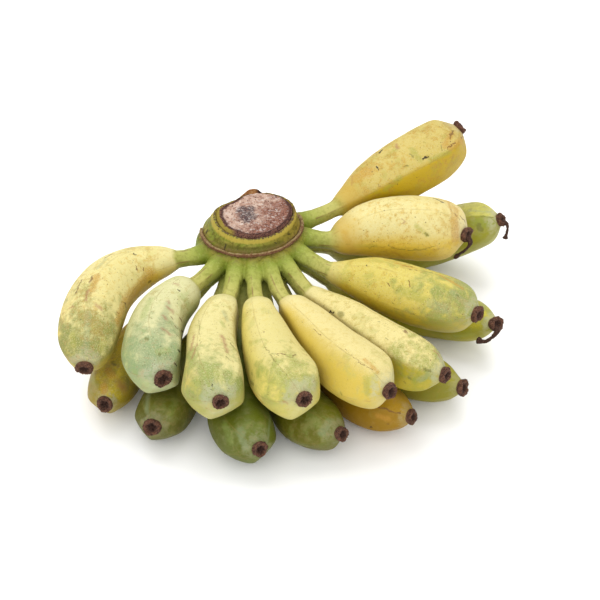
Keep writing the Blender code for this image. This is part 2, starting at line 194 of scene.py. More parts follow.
FINGERS = {
    "upper_1": Finger(
        "upper", 208, 20.4, 0.4, 0.4, 90,
        ((-46, -22, 66), (-70, -25, 61.5), (-88, -42, 60), (-96, -72, 57), (-97, -109, 53)),
    ),
    "upper_2": Finger(
        "upper", 235, 20.2, 0.95, 1.0, 80,
        ((-34, -45, 63), (-49, -59, 58), (-57, -86, 54), (-49, -124, 58)),
    ),
    "upper_3": Finger(
        "upper", 257, 20.6, 0.95, 0.95, 73,
        ((-12, -56, 61), (-18, -72, 56), (-21, -112, 53), (-14, -145, 59)),
    ),
    "upper_4": Finger(
        "upper", 275, 20.8, 0.95, 0.95, 70,
        ((5, -58, 61), (9, -77, 56), (21, -117, 53), (34, -143, 59)),
    ),
    "upper_5": Finger(
        "upper", 291, 20.0, 0.9, 0.9, 74,
        ((22, -58, 61), (34, -72, 56), (62, -109, 52), (84, -132, 55)),
    ),
    "upper_6": Finger(
        "upper", 308, 18.6, 0.4, 0.75, 38,
        ((37, -46, 59), (57, -65, 53), (89, -94, 49.5), (118, -113, 50)),
    ),
    "upper_7": Finger(
        "upper", 329, 19.3, 0.15, 0.55, 76,
        ((50, -28, 62), (71, -32, 58), (113, -49, 54), (135, -58, 54), (142, -63, 55)),
    ),
    "upper_8": Finger(
        "upper", 356, 22.0, 0.5, 0.6, 75,
        ((53, -3, 67), (73, 6, 67), (112, 11, 66), (133, 7, 66), (140, 3, 67)),
    ),
    "upper_9": Finger(
        "upper", 383, 21.3, 0.2, 0.8, 35,
        ((57, 27, 71), (78, 41, 76), (115.5, 65, 84.5), (136, 83, 90.5), (141, 86, 94.5)),
    ),
    "lower_1": Finger(
        "lower", 222, 16.6, 0.35, 0.0, 50,
        ((-42, -38, 41), (-62, -47, 28), (-82, -73, 15.9), (-87, -111, 24)),
    ),
    "lower_2": Finger(
        "lower", 246, 17.5, 0.6, 0.5, 70,
        ((-25, -54, 38), (-35, -70, 25), (-50, -107, 16.8), (-56, -132, 25)),
    ),
    "lower_3": Finger(
        "lower", 266, 19.8, 0.6, 0.5, 54,
        ((-5, -58, 38), (-6, -76, 27), (-5, -117, 18.8), (8, -151, 26)),
    ),
    "lower_4": Finger(
        "lower", 283, 18.5, 0.6, 0.45, 66,
        ((14, -56, 38), (19, -72, 26), (34, -114, 17.5), (56, -138, 25)),
    ),
    "lower_5": Finger(
        "lower", 300, 17.6, 0.5, 0.1, 46,
        ((30, -49, 38), (43, -66, 26), (69, -95, 16.4), (99, -122, 23.5)),
    ),
    "lower_6": Finger(
        "lower", 318, 16.8, 0.5, 0.0, 55,
        ((42, -36, 39), (60, -47, 27), (98, -72, 15.9), (132, -97, 24)),
    ),
    "lower_7": Finger(
        "lower", 342, 16.6, 0.4, 0.0, 68,
        ((52, -14, 42), (74, -15, 28), (116, -16, 15.8), (158, -44, 30)),
    ),
    "lower_8": Finger(
        "lower", 369, 19.2, 0.3, 1.0, 58,
        ((54, 16, 46), (76, 35, 27), (104, 53, 16.4), (147, 51, 34.5), (169, 45, 47)),
    ),
}

# Withered styles still hanging from three blossom ends: points from the blossom end's
# middle, upwards, to the finger's right and outwards along it.
STYLES = {
    "upper_8": ((-1, 0, 2), (-4, 1, 5), (-9, 2, 3), (-13, 3, -1), (-18, 3, -6)),
    "lower_7": ((-1, 1, 2), (-3, 3, 4), (-6, 7, 2), (-8, 10, -3), (-6, 12, -7)),
    "lower_8": ((-1, 0, 2), (-4, 2, 5), (-9, 3, 3), (-13, 5, 0)),
}

# How ripe each fruit is. Colours are red, green and blue of 255. top and flank: the peel
# above and at its sides. The paler top is partly painted light, and the deeper, more saturated
# flank is partly painted shade, over the peel's own colour. edge and soft: the angle where the
# near flank starts, and over how many degrees. tip: its colour towards the blossom end, from
# the share of the length where that starts, green_from. patches, tan, specks, scratches and
# bloom: how much green mottling, tan scuffing, dark specks, short scratches and pale wax it
# has, 0 to 1.
Look = namedtuple("Look", "top flank edge soft tip green_from patches tan specks scratches bloom")

LOOKS = {
    "upper_1": Look((255, 242, 164), (250, 212, 80), 26, 100, (124, 140, 62), 0.6, 0.4, 0.6, 1.0, 0.4, 0.3),
    "upper_2": Look((242, 238, 178), (214, 220, 146), 40, 80, (146, 172, 118), 0.56, 0.6, 0.5, 1, 1, 0.5),
    "upper_3": Look((252, 240, 166), (224, 208, 112), 50, 70, (148, 168, 80), 0.66, 0.6, 0.3, 0.9, 0.8, 0.4),
    "upper_4": Look((247, 233, 152), (246, 228, 120), 52, 50, (162, 174, 74), 0.76, 0.5, 0.3, 0.8, 0.7, 0.3),
    "upper_5": Look((254, 237, 162), (240, 210, 88), 62, 70, (214, 208, 108), 0.88, 0.1, 0.2, 0.3, 0.2, 0.3),
    "upper_6": Look((253, 236, 158), (204, 184, 50), 38, 24, (150, 164, 58), 0.76, 0.5, 0.3, 0.8, 0.4, 0.3),
    "upper_7": Look((240, 222, 112), (228, 198, 56), 18, 80, (144, 164, 86), 0.58, 0.7, 0.5, 0.9, 0.5, 0.3),
    "upper_8": Look((255, 241, 168), (250, 212, 66), 18, 70, (255, 232, 148), 0.76, 0.3, 0.8, 0.9, 0.4, 0.0),
    "upper_9": Look((230, 208, 116), (218, 184, 26), 34, 16, (196, 158, 50), 0.84, 0.5, 0.9, 1.0, 0.5, 0.1),
    "lower_1": Look((232, 206, 56), (176, 150, 22), 50, 80, (164, 150, 50), 0.7, 0.6, 0.5, 0.7, 0.4, 0.3),
    "lower_2": Look((116, 118, 24), (98, 98, 14), 60, 60, (120, 124, 60), 0.81, 0.5, 0.3, 0.6, 0.3, 0.15),
    "lower_3": Look((110, 124, 20), (102, 110, 16), 60, 80, (120, 132, 60), 0.78, 0.6, 0.2, 0.5, 0.3, 0.15),
    "lower_4": Look((116, 120, 6), (108, 108, 6), 60, 80, (120, 124, 46), 0.82, 0.6, 0.2, 0.5, 0.3, 0.15),
    "lower_5": Look((196, 152, 4), (172, 130, 8), 44, 20, (178, 146, 40), 0.86, 0.0, 0.5, 0.4, 0.3, 0.1),
    "lower_6": Look((192, 180, 56), (156, 148, 32), 40, 70, (160, 156, 50), 0.7, 0.5, 0.3, 0.5, 0.3, 0.05),
    "lower_7": Look((224, 210, 52), (186, 176, 26), 20, 60, (160, 164, 62), 0.7, 0.6, 0.2, 0.5, 0.3, 0.3),
    "lower_8": Look((222, 216, 98), (168, 166, 40), 60, 8, (172, 170, 78), 0.9, 0.3, 0.3, 0.6, 0.3, 0.3),
}

# Marks that stand out on the peel. Each is a stroke: its kind, where that isn't the one
# before's, half its width in millimetres, and the pixels of the photograph where it starts
# and ends, across and down.
MARKS = {
    "upper_1": (
        "dark .8 134 254 135 254.5, .7 151 281 149 282.5, .6 125 303 126 308, brown .7 108 251.5 119 249, "
        ".4 119 249 132 248, .6 105 258 112 254, .8 93 276 90 282, .6 82 279.5 78 287, .6 78 288 76 293, "
        ".5 136 266 137 270, .5 143 269 143.5 271, .5 117 312 119 313, tan 3.2 97 276 92 290, "
        "6 150 275 128 300, 4 125 300 118 322, rosy .8 88 290 86 300, 1 96 304.5 101 309, "
        ".6 70 307.5 73 307, wax 2.6 88 313 86 345, 3.2 86 345 82 356, 2 106 259 98 268, "
        "green 3 94 326 96 332, 3.5 104 340 100 350, 3 72 335 74 345"
    ),
    "upper_2": (
        "rosy 1.1 168.5 308 172 311, 1.1 163 315.5 166.5 319, 1.2 163 329 169.5 334, "
        ".8 175 283.5 178.5 285, .8 168 301 168.5 303, dark .5 178 289 179.5 290.5, "
        ".6 181 330.5 183.5 332.5, .6 178.5 350 180 352.5, .6 174.5 363 176.5 366, "
        "brown .5 171 317 173 319, .5 175 326 177.5 328.5, .5 180 318 182 321.5, .5 177 335 179.5 338, "
        ".4 184 322 186 326, .4 181 342 183 346, olive .9 145.5 338.5 147.5 340, .6 158.5 354 160 355, "
        # Next line: the wide blue-green wax stroke at the lower left, 141 352 to 146 370, is painted shade.
        ".5 150 318 152 318, wax 6 141 352 146 370, 3 168 304 160 330, green 4 150 300 142 318, "
        "3 158 352 168 350, 3 182 296 188 305"
    ),
    "upper_3": (
        "rosy .7 194 335 191 350, .6 197 344 192.5 357, .9 222 335 227 352, .5 206 408 214 411, "
        "olive .3 199 318 200 345, .6 231 343 236 350, .5 210 389 211.5 391, .5 226 356 230 361, "
        "wax 2.2 224 312 227 320, 3 203 395 210 405, green 3.2 203 364 208 378, 2.5 214 368 220 378, "
        "2 221 322 224 326, 2.5 196 380 197 388, dark .5 212.3 385 213 386"
    ),
    "upper_4": (
        "olive .35 264.5 347 276 362, .25 276 362 287 376, .45 272.5 353 278 355, "
        ".9 250.5 381.5 253.5 384, .5 251.5 372.5 252.5 374, .4 267 393 269 395, "
        "brown .45 278 353.5 285 354.5, .35 286 356.5 290 356.5, .45 291 357.5 295 354.5, "
        ".35 262 331 264 332.5, green 3 277 370 281 386, 2 261 366 262 371, 1.5 303.5 361 306 368, "
        "2 288 386 288 394, wax 2 313 376 314 384, rosy .7 284 402 287 403.5, .5 287.5 409.5 288.5 410, "
        ".4 303 353.5 306.5 355.5, tan 2.4 250 388 262 402"
    ),
    "upper_5": (
        "brown .3 313 329 321 335.5, .25 345 349.5 357 361, .25 357 361 372 369.5, "
        "green 2.6 366 378 368 393, rosy .5 364 401.5 372 401, .4 351 400.5 354 401.5, "
        "olive .7 340 392.5 341 394, .3 302 321 303.5 322.5, tan 2 365 360 378 372"
    ),
    "upper_6": (
        "dark .6 326.5 313 330 312.5, .6 330 311 333.5 313, olive 1.6 340 313 342 315, "
        ".5 348.5 301 349.5 302, 1 409 377.5 410 379, .8 404.5 382 406 383, .7 424 369 430 371, "
        ".4 378 322 380 323, .5 386 338 387.5 339, brown .6 404.5 330.5 406.5 333, "
        "green 2.4 390 350 404 361, 1.5 397 350 399 353, 1.5 404 351 407 354, 2.4 410 342 420 350, "
        "wax 2.4 438 352 444 366, 3 432 372 420 380, rosy .5 435 351 440 358"
    ),
    "upper_7": (
        "tan 1.8 396 263 416 268.5, 2 440 275 462 288, brown .6 404 266 412 267, .5 409 269 416 270.5, "
        # Next line: the green stroke from 430 281 to 450 289 is painted shade, drawn in green.
        ".6 387 283 389 285.5, .5 408 281 410 286, green 2.8 430 281 450 289, 4 400 290 425 300, "
        "wax 2.4 452 291 464 302, 4 430 303 448 310, dark .35 366 265 366.3 266, "
        "olive .5 364.5 291.5 366 292.5, .6 456.5 295 458 297, .6 392 303 394 304, .5 412 313 414 314"
    ),
    "upper_8": (
        "olive .5 388.5 245.5 395 248.5, .55 395 248.5 405 249.8, .55 405 249.8 420 249.8, "
        ".5 420 249.8 430 248, .4 430 248 440 243.5, .5 346 244 350 245.5, .5 370 247.5 374 246, "
        ".6 425 233 427.5 236, dark .7 434 198.5 443 202.5, brown .5 455 214 459 219, "
        ".5 460 216 465 221.5, .3 448 207 452 210.5, .3 424 255 430 258, tan 3 453 220 454 240, "
        "1.6 392 251 404 258, 3 344 232 352 250, 3.5 456 243 455 203, 1.5 447 199 453 216, "
        "rosy .4 402 219.5 405 222, .4 405 222 402 223.5, green 2.2 416 226 428 235, 2 352 246 376 246"
    ),
    "upper_9": (
        "dark .7 379 152.5 382.5 150, .5 376.5 166 378 170, .8 423 159 428 156.5, "
        "olive .35 417 125 426 124, .7 410 153.5 413 157, .6 405 167.5 408 165.5, .4 397.5 180 399 180.5, "
        ".5 441 145 442 150, rosy .9 396.5 144.5 398 147.5, .5 351.5 176 352.5 185, tan 6 356 178 368 171, "
        "2.6 452 133 444 146, 3 450 148 462 140, brown .4 353 172 356 169, .7 453 131 450 138, "
        ".6 447 148 455 143, .6 461 138 466 135, .5 378 184 379 187, green 3 412 150 420 160, "
        "2.5 400 178 385 190, 2.5 450 152 430 160, 3 395 150 388 156"
    ),
    "lower_1": (
        "olive 1.3 112.5 362 114 365, tan 3.4 108 370 112 376, 3 104 386 104 391, "
        "rosy 2.5 120 384 124 388, green 3 92 378 96 386"
    ),
    "lower_2": (
        "wax 2.4 148 394 147 412, green 3 175 400 170 415, olive .8 160 400 162 402"
    ),
    "lower_3": (
        "olive .5 262 428 264 431, wax 3 240 430 245 448, 1.6 270 416 268 440, green 4 225 425 230 440"
    ),
    "lower_4": (
        "wax 3.4 322 432 330 422, green 4 310 412 318 425"
    ),
    "lower_5": (
        "brown .5 378 407 400 413.5, .6 387 423.5 389 424.5, dark .7 370.5 427 372 427.5, "
        "tan 2.6 378 416 388 419"
    ),
    "lower_8": (
        "olive 1.6 479 226 481 230, .5 472 216 496 217, green 5 475 222 492 222, wax 1.6 470 211 492 212"
    ),
    "lower_7": (
        "wax 2 452 330 462 326, green 4 455 336 468 334"
    ),
}

# The marks that a material draws itself, with their colours and how far each covers the peel,
# and those that the mesh carries, blurred.
SHARP_MARKS = {
    "rosy": ((176, 112, 84), 0.65),
    "olive": ((120, 118, 50), 0.60),
    "brown": ((126, 84, 42), 0.75),
    "dark": ((48, 36, 24), 0.95),
}
SOFT_MARKS = ("tan", "green", "wax")


def smoothstep(x, low, high):
    t = np.clip((x - low) / (high - low), 0.0, 1.0)
    return t * t * (3 - 2 * t)


def blend(a, b, share):
    return a * (1 - share) + b * share


def turns(count):
    """Angles spaced evenly round a ring."""
    return np.linspace(0, 2 * np.pi, count, endpoint=False)


def run_along(points):
    """How far each point lies from the first, by way of those between."""
    return np.concatenate([[0.0], np.cumsum(np.linalg.norm(np.diff(points, axis=0), axis=1))])


def unit(vectors):
    return vectors / np.maximum(np.linalg.norm(vectors, axis=-1, keepdims=True), LEAST_LENGTH)


def spline(knots, values, at):
    """Natural cubic spline through values at knots, read at the places given."""
    knots = np.asarray(knots, float)
    values = np.asarray(values, float)
    at = np.asarray(at, float)
    n = len(knots)
    step = np.diff(knots)
    slope = np.diff(values, axis=0) / (step[:, None] if values.ndim > 1 else step)
    system = np.eye(n)
    right = np.zeros_like(values)
    for i in range(1, n - 1):
        system[i, i - 1 : i + 2] = step[i - 1], 2 * (step[i - 1] + step[i]), step[i]
        right[i] = 6 * (slope[i] - slope[i - 1])
    bend = np.linalg.solve(system, right)
    k = np.clip(np.searchsorted(knots, at, side="right") - 1, 0, n - 2)
    h = step[k]
    a = (knots[k + 1] - at) / h
    b = (at - knots[k]) / h
    c = (a**3 - a) * h**2 / 6
    d = (b**3 - b) * h**2 / 6
    if values.ndim > 1:
        a, b, c, d = (x[:, None] for x in (a, b, c, d))
    return a * values[k] + b * values[k + 1] + c * bend[k] + d * bend[k + 1]


def relief(places, size, seed, octaves=2):
    """Smooth noise from -1 to 1 at places, with bumps about size apart."""
    offset = Vector((seed * 17.3, seed * 7.1, seed * 3.7))
    flat = np.asarray(places, float).reshape(-1, 3) / size
    read = [noise.fractal(Vector(p) + offset, 0.6, 2.0, octaves) for p in flat]
    return np.array(read).reshape(np.shape(places)[:-1])


class Axis:
    """A finger's centre line, with its nominal radius, read by arc length from the root."""

    def __init__(self, finger):
        angle = math.radians(finger.root)
        out = np.array([math.cos(angle), math.sin(angle), math.cos(angle) * CROWN_SLOPE])
        root = out * ROOT_REACH[finger.row] + (0, 0, ROOT_Z[finger.row])
        inside = out * (ROOT_REACH[finger.row] - ROOT_INSIDE) + (0, 0, ROOT_Z[finger.row])
        points = np.array([inside, root, *finger.axis], float)
        chord = run_along(points)
        fine = np.linspace(0, chord[-1], AXIS_SAMPLES * 4)
        line = spline(chord, points, fine)
        run = run_along(line)
        self.finger = finger
        self.run, self.line = run, line
        self.root_at = np.interp(chord[1], fine, run)
        self.neck_at = np.interp(chord[2], fine, run)
        self.length = run[-1]
        self.samples = np.linspace(0, self.length, AXIS_SAMPLES)
        self.sample_points = self.point(self.samples)
        self.sample_radii = self.radius(self.samples)

    def point(self, s):
        return np.stack([np.interp(s, self.run, self.line[:, k]) for k in range(3)], -1)

    def frames(self, s):
        """Unit vectors along the axis, to its right and upwards, at each place."""
        ahead = self.point(np.minimum(s + 1.0, self.length)) - self.point(np.maximum(s - 1.0, 0))
        along = unit(ahead)
        right = unit(np.cross(along, (0.0, 0.0, 1.0)))
        return along, right, np.cross(right, along)

    def around(self, s, sides):
        """Rings round the axis: their centres, radii and outward directions."""
        _, right, up = self.frames(s)
        way = turns(sides)[None, :, None]
        directions = np.cos(way) * right[:, None] + np.sin(way) * up[:, None]
        return self.point(s), self.radius(s), directions

    def share(self, s):
        """0 at the neck and 1 at the blossom end."""
        return np.clip((s - self.neck_at) / (self.length - self.neck_at), 0, 1)

    def radius(self, s):
        finger = self.finger
        share = self.share(s)
        neck = spline(NECK_AT, blend(SLENDER_NECK, ROUND_NECK, finger.shoulder), share)
        end = spline(END_AT, blend(TAPERED_END, BLUNT_END, finger.blunt), share)
        fruit = np.maximum(finger.radius * neck * end, TIP_RADIUS)
        past_root = np.maximum(s - self.root_at, 0)
        stalk = STALK_RADIUS * (1 + ROOT_FLARE * np.exp(-past_root / ROOT_FLARE_LENGTH))
        return blend(stalk, fruit, smoothstep(s, self.neck_at - 4.0, self.neck_at + 1.0))


def ridge_angles(finger, generator):
    """The angles of the ridges, unevenly spaced, and the first one again a turn later."""
    step = 360.0 / RIDGES
    jitter = generator.uniform(-RIDGE_UNEVENNESS, RIDGE_UNEVENNESS, RIDGES)
    corners = finger.turn + step * np.arange(RIDGES) + jitter
    return np.radians(np.append(corners, corners[0] + 360.0))


def section(corners, angles):
    """The rounded, ridged outline's radius as a share of the round one, and how near a ridge
    each angle is, from 0 to 1."""
    middles = (corners[:-1] + corners[1:]) / 2
    halves = np.diff(corners) / 2
    facing = np.cos(angles[:, None] - middles) / np.cos(halves)
    facing = np.sum(np.maximum(facing, 0) ** RIDGE_SHARPNESS, axis=1)
    shares = SECTION_FULLNESS * facing ** (-1 / RIDGE_SHARPNESS)
    off = np.abs((angles[:, None] - corners[:-1] + np.pi) % (2 * np.pi) - np.pi).min(axis=1)
    return shares, np.exp(-((off / RIDGE_WIDTH) ** 2))


def pressed(radii, centres, directions, own, others, margin):
    """Shortens radii where a neighbour presses, so that both end at the plane between them.
    Also returns how far each radius is from such a plane."""
    for _ in range(PRESS_PASSES):
        limit = np.full(radii.shape, np.inf)
        for other in others:
            between = np.linalg.norm(centres[:, None] - other.sample_points, axis=2)
            between = between - own[:, None] - other.sample_radii
            rings = np.nonzero(between.min(axis=1) < PRESS_REACH)[0]
            if not len(rings):
                continue
            near = np.nonzero(between[rings].min(axis=0) < 2 * PRESS_REACH)[0]
            points, other_radii = other.sample_points[near], other.sample_radii[near]
            ways = directions[rings]
            places = centres[rings, None] + ways * radii[rings, :, None]
            gaps = places[:, :, None] - points
            nearest = np.argmin(np.einsum("ijkl,ijkl->ijk", gaps, gaps) - other_radii**2, axis=2)
            towards = points[nearest] - centres[rings, None]
            distance = np.linalg.norm(towards, axis=2)
            squares = own[rings, None] ** 2 - other_radii[nearest] ** 2
            plane = (distance + squares / distance) / 2 - margin[rings, None]
            facing = np.einsum("ijk,ijk->ij", ways, towards) / distance
            room = plane / np.maximum(facing, LEAST_FACING)
            room = np.where(facing > LEAST_FACING, room, np.inf)
            limit[rings] = np.minimum(limit[rings], room)
        eased = -PRESS_ROUNDING * np.logaddexp(-radii / PRESS_ROUNDING, -limit / PRESS_ROUNDING)
        radii = np.maximum(np.minimum(eased, limit), LEAST_RADIUS)
    return radii, limit - radii


def linked(name, data):
    """An object of the scene that shows data."""
    obj = bpy.data.objects.new(name, data)
    bpy.context.scene.collection.objects.link(obj)
    return obj


def mesh_object(name, points, faces, attributes=None):
    """A smooth mesh from points in millimetres, with named values for its material."""
    data = bpy.data.meshes.new(name)
    data.from_pydata(((np.asarray(points) + CROWN_AT) * MM).tolist(), [], faces)
    data.update()
    data.shade_smooth()
    add_attributes(data, attributes or {})
    return linked(name, data)


def add_attributes(data, attributes):
    for key, values in attributes.items():
        values = np.asarray(values, np.float32)
        kind = "FLOAT_VECTOR" if values.ndim > 1 else "FLOAT"
        made = data.attributes.new(key, kind, "POINT")
        made.data.foreach_set("vector" if values.ndim > 1 else "value", values.ravel())


def tube_faces(rings, sides, first=0):
    """Faces of a closed tube through rings of points, with a fan over each end."""
    faces = []
    for i in range(rings - 1):
        low = first + i * sides
        for k in range(sides):
            n = (k + 1) % sides
            faces.append((low + k, low + n, low + sides + n, low + sides + k))
    last = first + (rings - 1) * sides
    middle = first + rings * sides
    for k in range(sides):
        n = (k + 1) % sides
        faces.append((first + n, first + k, middle))
        faces.append((last + k, last + n, middle + 1))
    return faces


def with_middles(rings):
    """Rings of points as one list, with the middles of the first and the last ring after."""
    return np.concatenate([rings.reshape(-1, 3), [rings[0].mean(axis=0)], [rings[-1].mean(axis=0)]])


def ringed_values(values):
    """One value for each point of with_middles, from a grid of rings by sides."""
    return np.concatenate([values.ravel(), [values[0].mean()], [values[-1].mean()]])


def finger_places(axis):
    """Where the rings stand along a finger, closer together towards its blossom end."""
    start = axis.root_at + STUB_LENGTH - SEAM_LENGTH / 2
    share = np.linspace(0, 1, FINGER_RINGS)
    return start + (axis.length - start) * (share + 0.1 * np.sin(np.pi * share) ** 2)


def finger_piece(name, axis, others, corners, seed):
    """One fruit with the free part of its stalk, from inside the end of its root stub."""
    s = finger_places(axis)
    angles = turns(FINGER_SIDES)
    centres, own, directions = axis.around(s, FINGER_SIDES)
    shares, near_ridge = section(corners, angles)
    share = axis.share(s)
    ridged = BODY_RIDGED * smoothstep(share, 0.0, 0.3)
    ridged = ridged + END_RIDGED * smoothstep(share, 0.60, 0.95)
    ridged = ridged * (1 - smoothstep(share, 0.96, 1.0))
    ridged = np.maximum(ridged, STALK_RIDGED * (1 - smoothstep(s, axis.neck_at - 6, axis.neck_at + 3)))
    radii = own[:, None] * (1 + (shares - 1) * ridged[:, None])
    places = centres[:, None] + directions * radii[..., None]
    full = smoothstep(own, 5.0, 14.0)[:, None]
    for k, (height, size) in enumerate(LUMPS):
        radii = radii + full * height * relief(places, size, seed + 3 * k)
    radii = radii * (1 - SEAM_STEP * (1 - smoothstep(s, s[0], s[0] + SEAM_LENGTH)))[:, None]
    radii, room = pressed(radii, centres, directions, own, others, np.full(len(s), PRESS_MARGIN))
    points = centres[:, None] + directions * radii[..., None]
    points[..., 2] = np.maximum(points[..., 2], 0.0)
    faces = tube_faces(len(s), FINGER_SIDES)
    skin = BVHTree.FromPolygons(with_middles(points).tolist(), faces)
    strokes = strokes_on(skin, MARKS.get(name, ""))
    grid = np.zeros(radii.shape)
    x, y = grid + np.cos(angles), grid + np.sin(angles)
    run = grid + s[:, None]
    values = {
        "share": (run - axis.neck_at) / (axis.length - axis.neck_at),
        "past_root": run - axis.root_at,
        # up, low and touch also steer painted light in the material: painted shade on the flanks and
        # underside, painted floor light along the bottom, and painted contact shade where fruits press.
        "up": y,
        "ridge": grid + near_ridge,
        "touch": 1 - smoothstep(room, 0.3, 2.4),
        "low": grid + flank_share(LOOKS[name], angles),
    }
    for kind in SOFT_MARKS:
        values[kind] = soft_marks(points, [stroke for stroke in strokes if stroke[0] == kind])
    attributes = {key: ringed_values(value) for key, value in values.items()}
    attributes["flow"] = with_middles(np.stack([x * FLOW_RADIUS, y * FLOW_RADIUS, run], -1))
    obj = mesh_object("peel_" + name, with_middles(points), faces, attributes)
    return obj, [stroke for stroke in strokes if stroke[0] in SHARP_MARKS]


def flank_share(look, angles):
    """0 on top of a fruit and 1 on its flanks, changing sooner on the side that faces front."""
    degrees = (np.degrees(angles) + 90) % 360 - 90
    near = smoothstep(look.edge - degrees, -look.soft / 2, look.soft / 2)
    far = smoothstep(degrees, 140, 200)
    return np.maximum(near, far)


def seen_at(skin, pixel):
    """Where the camera sees a fruit's skin at a pixel of the photograph, or None beside it."""
    eye, right, up, back = viewpoint()
    across, down = (pixel - IMAGE_SIDE / 2) * SENSOR / IMAGE_SIDE / CAMERA_LENS
    place = skin.ray_cast(Vector(eye), Vector(right * across - up * down - back))[0]
    return None if place is None else np.array(place)


def strokes_on(skin, text):
    """The marks of one fruit as kind, half width, start and end, cut into short strokes. What
    falls beside the fruit is left out."""
    strokes = []
    for mark in filter(None, text.split(", ")):
        *named, width, x, y, to_x, to_y = mark.split()
        kind = named[0] if named else kind
        width, *ends = (float(n) for n in (width, x, y, to_x, to_y))
        start, end = np.array(ends[:2]), np.array(ends[2:])
        way = [seen_at(skin, blend(start, end, q)) for q in np.linspace(0, 1, STROKE_PLACES)]
        way = [place for place in way if place is not None]
        if len(way) < 2:
            continue
        pieces = min(1 + int(np.linalg.norm(way[-1] - way[0]) / STROKE_PIECE), len(way) - 1)
        knots = [way[round((len(way) - 1) * k / pieces)] for k in range(pieces + 1)]
        strokes += [(kind, width, a, b) for a, b in zip(knots[:-1], knots[1:])]
    return strokes


def soft_marks(points, strokes):
    """How far each point is covered by blurred strokes, 0 to 1."""
    covered = np.zeros(points.shape[:2])
    for _, width, start, end in strokes:
        run = end - start
        length = max(run @ run, 1e-6)
        share = np.clip((points - start) @ run / length, 0, 1)
        off = np.linalg.norm(points - start - share[..., None] * run, axis=-1)
        covered = np.maximum(covered, 1 - smoothstep(off, 0.2 * width, 1.5 * width))
    return covered


# Radius and height of the crown's flank, from its underside to the floor of the cut, and how
# much further it bulges in front, as an apron over the roots of the stalks.
CROWN_FLANK = (
    (9.0, 47.0, 0.0),
    (20.0, 50.0, 0.0),
    (27.0, 57.0, 1.0),
    (30.0, 62.0, 4.5),
    (31.5, 66.5, 6.0),
    (32.3, 70.5, 4.0),
    (RIM_RADIUS, RIM_Z - 2.4, 0.8),
    (RIM_RADIUS - 0.8, RIM_Z - 1.2, 0.0),
    (RIM_RADIUS - 1.25, RIM_Z, 0.0),
    (RIM_RADIUS - 0.9, RIM_Z + 1.1, 0.0),
    (RIM_RADIUS - 3.0, RIM_Z + 4.2, 0.0),
    (CUT_RADIUS + 2.3, CUT_Z - 1.6, 0.0),
    (CUT_RADIUS + 1.2, CUT_Z + 0.3, 0.0),
    (CUT_RADIUS, CUT_Z, 0.0),
)


def crown_ring(radius, z, apron=0.0, raised=0.0, sides=CROWN_SIDES):
    """One ring of the crown: an oval, flatter behind, that slopes up to the right. As it rises
    it shifts, tilts up at the back and loses the corner that the knife took off."""
    high = smoothstep(z, RIM_Z, CUT_Z)
    angles = turns(sides)
    radius = radius + apron * smoothstep(-np.sin(angles), -0.45, 0.2)
    radius *= 1 - CUT_NOTCH * high * np.exp(-(((angles - CUT_NOTCH_AT) / CUT_NOTCH_WIDTH) ** 2))
    x = radius * np.cos(angles) + blend(RIM_SHIFT_X, CUT_SHIFT_X, high)
    share = np.where(np.sin(angles) > 0, CROWN_BACK_SHARE, CROWN_FRONT_SHARE)
    y = radius * share * np.sin(angles)
    return np.stack([x, y, z + x * CROWN_SLOPE + y * CUT_TILT * high + raised], -1)


def stub_rings(axis, others, corners):
    """Rings round a stalk's root, from inside the crown to where its finger takes over."""
    s = np.linspace(0.5, axis.root_at + STUB_LENGTH + SEAM_LENGTH / 2, STUB_RINGS)
    centres, own, directions = axis.around(s, STUB_SIDES)
    shares, _ = section(corners, turns(STUB_SIDES))
    ending = smoothstep(s, s[-1] - SEAM_LENGTH, s[-1])
    ridged = blend(0.2, STALK_RIDGED, smoothstep(s, axis.root_at - 4, axis.root_at + 6))[:, None]
    swell = (STUB_SWELL - SEAM_STEP * 1.6 * ending)[:, None]
    radii = own[:, None] * (1 + (shares - 1) * ridged) * swell
    margin = np.where(s < axis.root_at + FUSED_LENGTH, -FUSED_OVERLAP, PRESS_MARGIN + 0.3)
    radii, _ = pressed(radii, centres, directions, own, others, margin)
    return centres[:, None] + directions * radii[..., None]


def crown_piece(axes, corners):
    """The cushion and all stalk roots, melted into one skin."""
    cushion = np.array([crown_ring(radius, z, apron) for radius, z, apron in CROWN_FLANK])
    floor = crown_ring(CUT_RADIUS, CUT_Z, raised=-CUT_DEPTH)
    cushion = np.concatenate([cushion, floor[None]])
    points = [with_middles(cushion)]
    faces = tube_faces(len(cushion), CROWN_SIDES)
    for name, axis in axes.items():
        others = [other for key, other in axes.items() if key != name]
        rings = stub_rings(axis, others, corners[name])
        faces += tube_faces(len(rings), STUB_SIDES, sum(len(p) for p in points))
        points.append(with_middles(rings))
    obj = mesh_object("crown_skin", np.concatenate(points), faces)
    remesh = obj.modifiers.new("melt", "REMESH")
    remesh.mode = "VOXEL"
    remesh.voxel_size = CROWN_VOXEL * MM
    remesh.use_smooth_shade = True
    smooth = obj.modifiers.new("soften", "SMOOTH")
    smooth.factor = 0.5
    smooth.iterations = CROWN_SMOOTHING
    apply_modifiers(obj)
    shape_crown(obj, axes)
    return obj


def apply_modifiers(obj):
    bpy.context.view_layer.update()
    graph = bpy.context.evaluated_depsgraph_get()
    made = bpy.data.meshes.new_from_object(obj.evaluated_get(graph))
    obj.modifiers.clear()
    obj.data = made
    made.name = obj.name


def places_of(data):
    co = np.zeros(len(data.vertices) * 3, np.float32)
    data.vertices.foreach_get("co", co)
    return co.reshape(-1, 3).astype(float) / MM - CROWN_AT


